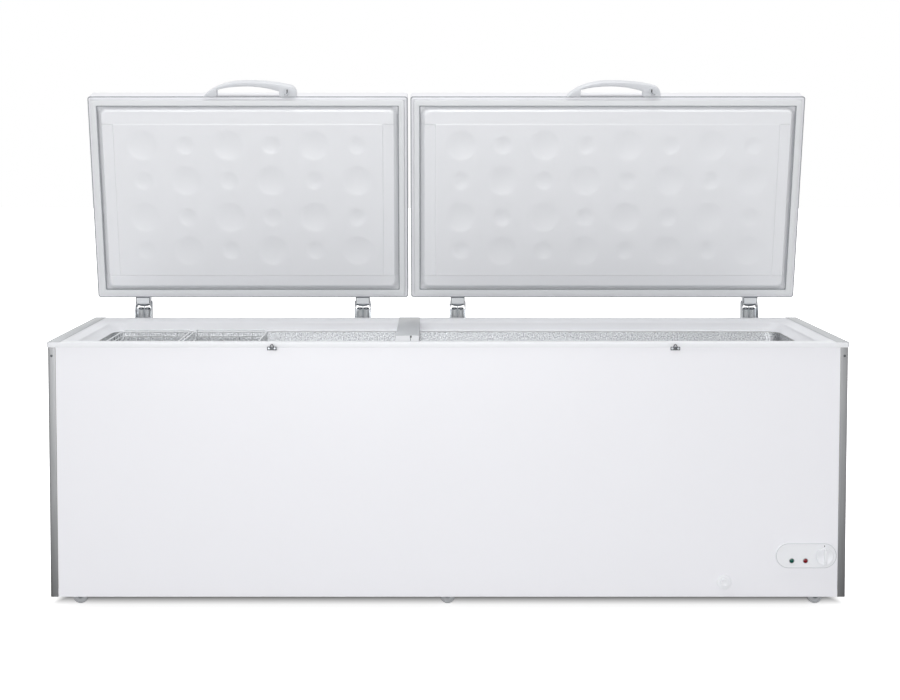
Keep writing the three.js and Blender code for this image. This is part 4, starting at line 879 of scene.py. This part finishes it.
for side in SIDES:
    low, high = shut(f"{side}_lid_handle")
    lid_front = lids[side][0][1]
    length, reach = high[0] - low[0], lid_front - low[1]
    outer = np.vstack([bezier(part, 40) for part in BOW_OUT])
    inner = np.vstack([bezier(part, 30) for part in GRIP_IN])
    at = 0.5 - 0.5 * np.cos(np.linspace(0, np.pi, 90))
    at = np.concatenate([at, [0.1445, 0.1455, 0.8145, 0.8155]])  # close stations at the hole's ends
    at = np.unique(np.round(np.clip(at, 0.004, 0.9985), 5))
    out = np.interp(at, outer[:, 0], outer[:, 1]) * reach
    hole = np.where((at > 0.145) & (at < 0.815), np.interp(at, inner[:, 0], inner[:, 1]), 0.0) * reach
    hole = np.maximum(np.minimum(hole, out - 3), 0)
    rows = []
    for x, near, far in zip(low[0] + at * length, hole, out):
        edge = min(BOW_EDGE, (far - near) / 2 * 0.98)
        depth, up = np.roll(rounded((near, low[2]), (far, high[2] - 4), edge, 4), -5, axis=0).T
        rows.append(points_at(x, lid_front - depth, up))
    bow = solid(np.array(rows))
    lock_x, lock_y = high[0] - LOCK_FROM_END, lid_front - LOCK_FROM_LID
    ring = turned(
        [(11.5, -high[2] + low[2] + 2), (11.5, 1.6), (10.6, 2.4), (9.8, 2.4), (9.2, 1.6), (9.2, -2)],
        (lock_x, lock_y, low[2]), (0, 0, -1), 40,
    )
    boss_low = (lock_x - BOSS[0] + 3, lid_front - 4, lids[side][0][2] - BOSS[1])
    boss_high = (lock_x + BOSS[0] + 3, lid_front + BOSS[2], lids[side][0][2] + 6)
    boss = bar(boss_low, boss_high, 2.0, 4)
    on_lid(side, "bow_handle", [bow, ring, boss], shaded_handle_abs, ["handle"], sharp=42)
    # The keyway is a dark bar in the barrel's face: painted shade in the slot.
    slot_low = (lock_x - 1.7, lock_y - 5.5, low[2] - 1.6)
    slot_high = (lock_x + 1.7, lock_y + 5.5, low[2] + 1)
    on_lid(side, "keyway_painted_shade", [bar(slot_low, slot_high, 0.2)], dark)
    dress(f"{side}_lock_cylinder", chrome, 35)
    strike_low, strike_high = span(f"{side}_lock_strike")
    middle, face = (strike_low[0] + strike_high[0]) / 2, strike_low[1] + 1.1
    keeper_top = LIP_BOTTOM + KEEPER[2]
    plate = bar(
        (middle - KEEPER[0], face - 1.0, keeper_top - KEEPER[1]),
        (middle + KEEPER[0], face + 3.0, keeper_top), 0.5,
    )
    bend = np.linspace(0, np.pi, 13)
    arch = points_at(middle + 5 * np.cos(bend), face - 0.5, keeper_top - 3 + 10 * np.sin(bend))
    build(
        f"{side}_lock_keeper", [plate, carry(arch, circle(1.2, 8))], oxide, "cabinet",
        [f"{side}_lock_strike"],
    )
    heads = [
        screw((middle + shift, face - 1.0, keeper_top - KEEPER[1] / 2), (0, -1, 0), 3.4, 1.2)
        for shift in (-8.5, 8.5)
    ]
    build(f"{side}_keeper_screws", heads, zinc, "cabinet")

# ---- Hinges ----
# Each lid hangs on two sprung hinges: a pressed steel channel screwed to the cabinet's back, a leaf
# screwed to the lid's rear edge, a pin through both, and two strong springs on studs in the channel.

# Spring steel with a dark oiled finish, on the spring caps and their seat. The same dark material on the
# leaf's edges, under the lid's edge and along the hinge line paints the shade there.
oiled_steel_and_shade = material("oiled_spring_steel_and_painted_shade", "zinc_plated_steel", "#6C7075", 0.32, 1.0)
texture(oiled_steel_and_shade, "Noise", 6, gloss=(0.25, 0.45))

# Dull zinc plate on the leaf: paler and rougher than on the channel.
matt_zinc = material("dull_zinc_plate", "zinc_plated_steel", "#EDEFF1", 0.55, 0.3)
texture(matt_zinc, "Noise", 8, relief=(0.1, 0.3))

SPRING_RADIUS, SPRING_WIRE, SPRING_TURNS, TURN_STEPS = 7.8, 1.5, 44, 12
SPRING_SHIFT = 10.6  # each spring's axis from the hinge's middle
CAP_RADIUS, CAP_HEIGHT = 8.8, 4.5
EDGE_SHEET = 2.4
for side, number in [(side, number) for side in SIDES for number in (1, 2)]:
    channel, leaf = f"{side}_lid_hinge_{number}_channel", f"{side}_lid_hinge_{number}_leaf"
    dress(channel, zinc, 35)
    dress(leaf, matt_zinc, 35)
    low, high = span(channel)
    closed_low, closed_high = shut(leaf)
    middle = (low[0] + high[0]) / 2
    seat_y, seat_z = PIVOT_Y + 0.8, closed_low[2] + 5
    foot = low[2] + 20
    tall = seat_z - foot
    turns = np.linspace(0, 1, SPRING_TURNS * TURN_STEPS + 1)
    angle = turns * SPRING_TURNS * 2 * np.pi
    coils, caps = [], []
    for shift in (-SPRING_SHIFT, SPRING_SHIFT):
        helix = points_at(
            middle + shift + SPRING_RADIUS * np.cos(angle), seat_y + SPRING_RADIUS * np.sin(angle),
            foot + SPRING_WIRE + (tall - 2 * SPRING_WIRE - 1) * turns,
        )
        coils.append(carry(helix, circle(SPRING_WIRE, 6)))
        stud = [
            (3, 0), (3, tall), (CAP_RADIUS, tall), (CAP_RADIUS, tall + CAP_HEIGHT),
            (CAP_RADIUS - 2, tall + CAP_HEIGHT + 1),
        ]
        caps.append(turned(stud, (middle + shift, seat_y, foot), (0, 0, 1), 24))
    seat = bar((middle - 20, seat_y - 9, foot - 3), (middle + 20, seat_y + 9, foot), 0.5)
    tie = turned([(1.6, foot), (1.6, PIVOT_Z - 6)], (middle, seat_y, 0), (0, 0, 1), 16)
    name = f"{side}_hinge_{number}"
    build(f"{name}_springs", coils, matt_zinc, "cabinet", sharp=50)
    build(f"{name}_spring_caps", [*caps, seat], oiled_steel_and_shade, "cabinet")
    build(f"{name}_tie_rod", [tie], zinc, "cabinet")
    # A dark rod bowed in the middle stands for the leaf's rolled lower edge on the hinge line: a real edge,
    # its darkness painted shade.
    lean = np.linspace(-1, 1, 13)
    half = (closed_high[0] - closed_low[0]) / 2 - EDGE_SHEET - 0.6
    bowed_shade_path = points_at(middle + lean * half, PIVOT_Y - 5, PIVOT_Z - 3 + 4 * lean**2)
    bowed_shade_rod = carry(bowed_shade_path, circle(2.6, 12))
    build(f"{name}_painted_shade_rod", [bowed_shade_rod], oiled_steel_and_shade, "cabinet")
    # Dark bars on the leaf's two side flanges, real edges whose darkness is painted shade, and a dark strip
    # across the leaf's top that paints the shadow under the lid's edge.
    front, under = closed_low[1] + 0.4, closed_low[2] - 0.5
    edges = [
        bar((x, front, under), (x + EDGE_SHEET, closed_low[1] + 23, closed_low[2] + 1.5), 0.4)
        for x in (closed_low[0], closed_high[0] - EDGE_SHEET)
    ]
    lid_shadow_strip_high = (closed_high[0] - 1, closed_low[1] + 4, closed_low[2] + 1)
    lid_shadow_strip = bar((closed_low[0] + 1, front, under), lid_shadow_strip_high, 0.4)
    on_lid(side, f"hinge_{number}_leaf_edges", [*edges, lid_shadow_strip], oiled_steel_and_shade)

# ---- Controls on the front ----
# A flat moulded plate low on the right carries a green and a red lamp and the thermostat's knob. A
# thin grey line runs round its edge; the marks beside lamps and knob are left off.
low, high = span("control_console")


def stadium(low, high, inset, steps=16):
    """Upright outline of a plate with round ends, drawn in by an inset."""
    radius = (high[2] - low[2]) / 2 - inset
    return rounded((low[0] + inset, low[2] + inset), (high[0] - inset, high[2] - inset), radius, steps)


def upright(outlines):
    """A grid from outlines (x, z), each at its own y."""
    return np.array([points_at(outline[:, 0], y, outline[:, 1]) for outline, y in outlines])


face, back = low[1], high[1]
plate = [
    (stadium(low, high, 0), back), (stadium(low, high, 0), face + 2.0),
    (stadium(low, high, 0.6), face + 0.8), (stadium(low, high, 2.2), face), (stadium(low, high, 5.0), face),
    (stadium(low, high, 5.6), face + 0.7),
]
build("console_plate", [solid(upright(plate))], moulded, "cabinet", ["control_console"], sharp=30)
grey_line = material("printed_grey_line", "grey_plastic", "#C3C5C9", 0.5)
outline_ring = [
    (stadium(low, high, 1.0), face + 0.9), (stadium(low, high, 1.4), face - 0.02),
    (stadium(low, high, 2.6), face - 0.02), (stadium(low, high, 3.0), face + 0.9),
]
build(
    "console_outline", [patch(upright(outline_ring), wrap_rows=True, wrap_columns=True)], grey_line,
    "cabinet",
)

# Clear tinted acrylic lenses over small lamps.
LENSES = {
    "green_power_lamp": ("green_acrylic_lens", "#014D40", "green_lens"),
    "red_alarm_lamp": ("red_acrylic_lens", "#78000E", "red_lens"),
}
for node, (name, colour, slot_name) in LENSES.items():
    lens = material(name, slot_name, colour, 0.12, **{"IOR": 1.49, "Coat Weight": 0.6})
    texture(lens, "Voronoi", 1.2, relief=(0.2, 0.4))
    low, high = span(node)
    radius = (high[0] - low[0]) / 2
    centre = ((low[0] + high[0]) / 2, low[1] + 2, (low[2] + high[2]) / 2)
    dome = [
        (radius, -4), (radius, 0.4), (radius * 0.93, 1.1), (radius * 0.7, 1.6), (radius * 0.35, 1.9),
        (0.3, 2.0),
    ]
    build(f"{node}_lens", [turned(dome, centre, (0, -1, 0), 28)], lens, "cabinet", [node], sharp=50)
    bezel = [
        (radius + 1.5, -2), (radius + 1.5, 0.4), (radius + 1.0, 0.8), (radius + 0.1, 0.8),
        (radius + 0.1, -2),
    ]
    build(f"{node}_bezel", [turned(bezel, centre, (0, -1, 0), 28)], grey_line, "cabinet")

low, high = span("thermostat_knob")
KNOB_X, _, KNOB_Z = (low + high) / 2
KNOB_RADIUS = (high[0] - low[0]) / 2
GRIP_WIDTH, GRIP_LENGTH = 11.0, 43.0
skirt_face = low[1] + 9
disc = turned(
    [
        (3.8, -16), (3.8, -8), (KNOB_RADIUS - 0.8, -8), (KNOB_RADIUS, -7), (KNOB_RADIUS, -1.2),
        (KNOB_RADIUS - 1.2, 0), (KNOB_RADIUS - 5, 0), (KNOB_RADIUS - 6, -0.8), (0.5, -0.8),
    ],
    (KNOB_X, skirt_face, KNOB_Z), (0, -1, 0), 64,
)
t = np.linspace(-1, 1, 25)
waist = GRIP_WIDTH / 2 * (0.72 + 0.28 * t**2)
ends = np.sqrt(np.maximum(1 - np.abs(t) ** 6, 0))
right = np.column_stack([waist * ends, t * GRIP_LENGTH / 2])
grip_outline = np.vstack([right, right[-2:0:-1] * (-1, 1)]) + (KNOB_X, KNOB_Z)


def drawn_in(outline, share):
    """An outline shrunk about its middle."""
    middle = (outline.min(0) + outline.max(0)) / 2
    return middle + (outline - middle) * share


grip = [
    (grip_outline, skirt_face + 1), (grip_outline, low[1] + 2.5),
    (drawn_in(grip_outline, 0.94), low[1] + 0.8), (drawn_in(grip_outline, 0.82), low[1]),
    (drawn_in(grip_outline, 0.3), low[1]),
]
build("knob_with_grip", [disc, solid(upright(grip))], moulded, "knob", ["thermostat_knob"])
tick = bar(
    (KNOB_X - 1, face - 0.3, KNOB_Z + KNOB_RADIUS + 1.5),
    (KNOB_X + 1, face + 1.4, KNOB_Z + KNOB_RADIUS + 6), 0.15,
)
build("setting_mark", [tick], dark, "cabinet")

# ---- Drain cap ----
# A round white push-in plug closes the drain outlet in the front panel: a flat flange with a rounded
# edge, a raised middle to hold it by, and a stem with two sealing rings inside the pipe.
low, high = span("drain_cap")
cap_x, _, cap_z = (low + high) / 2
cap_radius = (high[0] - low[0]) / 2
FLANGE_FACE = low[1] + 3
cap_profile = [
    (5.8, -16), (6.2, -14), (6.2, -5), (cap_radius, -5), (cap_radius, -1.6), (cap_radius - 0.8, -0.5),
    (cap_radius - 2.4, 0), (14.2, 0), (13.4, -0.8), (12.6, -0.8), (12, 0), (12, 2.0), (11.2, 2.8),
    (9.8, 3.0), (8.6, 2.2), (0.5, 2.0),
]
cap = turned(cap_profile, (cap_x, FLANGE_FACE, cap_z), (0, -1, 0), 56)
build("drain_plug_cap", [cap], moulded, "drain_plug", ["drain_cap"], sharp=35)

# ---- Casters ----
# Six swivel casters: a pressed zinc-plated fork under a square plate, and a grey nylon wheel on a
# riveted axle.
nylon = material("grey_nylon_wheel", "wheel_plastic", "#CFD1D4", 0.5)
texture(nylon, "Noise", 4, relief=(0.15, 0.3), gloss=(0.4, 0.7), Detail=5.0)
for name in [f"{end}_{spot}" for end in ("front", "rear") for spot in ("left", "middle", "right")]:
    dress(f"{name}_caster_fork", zinc, 35)
    low, high = span(f"{name}_caster_wheel")
    centre = (low + high) / 2
    radius, half = (high[2] - low[2]) / 2, (high[1] - low[1]) / 2
    tread = [
        (3.2, -half), (6, -half), (6, 2 - half), (radius - 6, 2.4 - half), (radius - 4.5, -half),
        (radius - 2, -half), (radius - 0.3, 2.4 - half), (radius, 5 - half),
    ]
    tread += [(r, -z) for r, z in reversed(tread)]
    build(
        f"{name}_wheel_tread", [turned(tread, centre, (0, 1, 0), 48)], nylon, f"{name}_wheel",
        [f"{name}_caster_wheel"], sharp=35,
    )
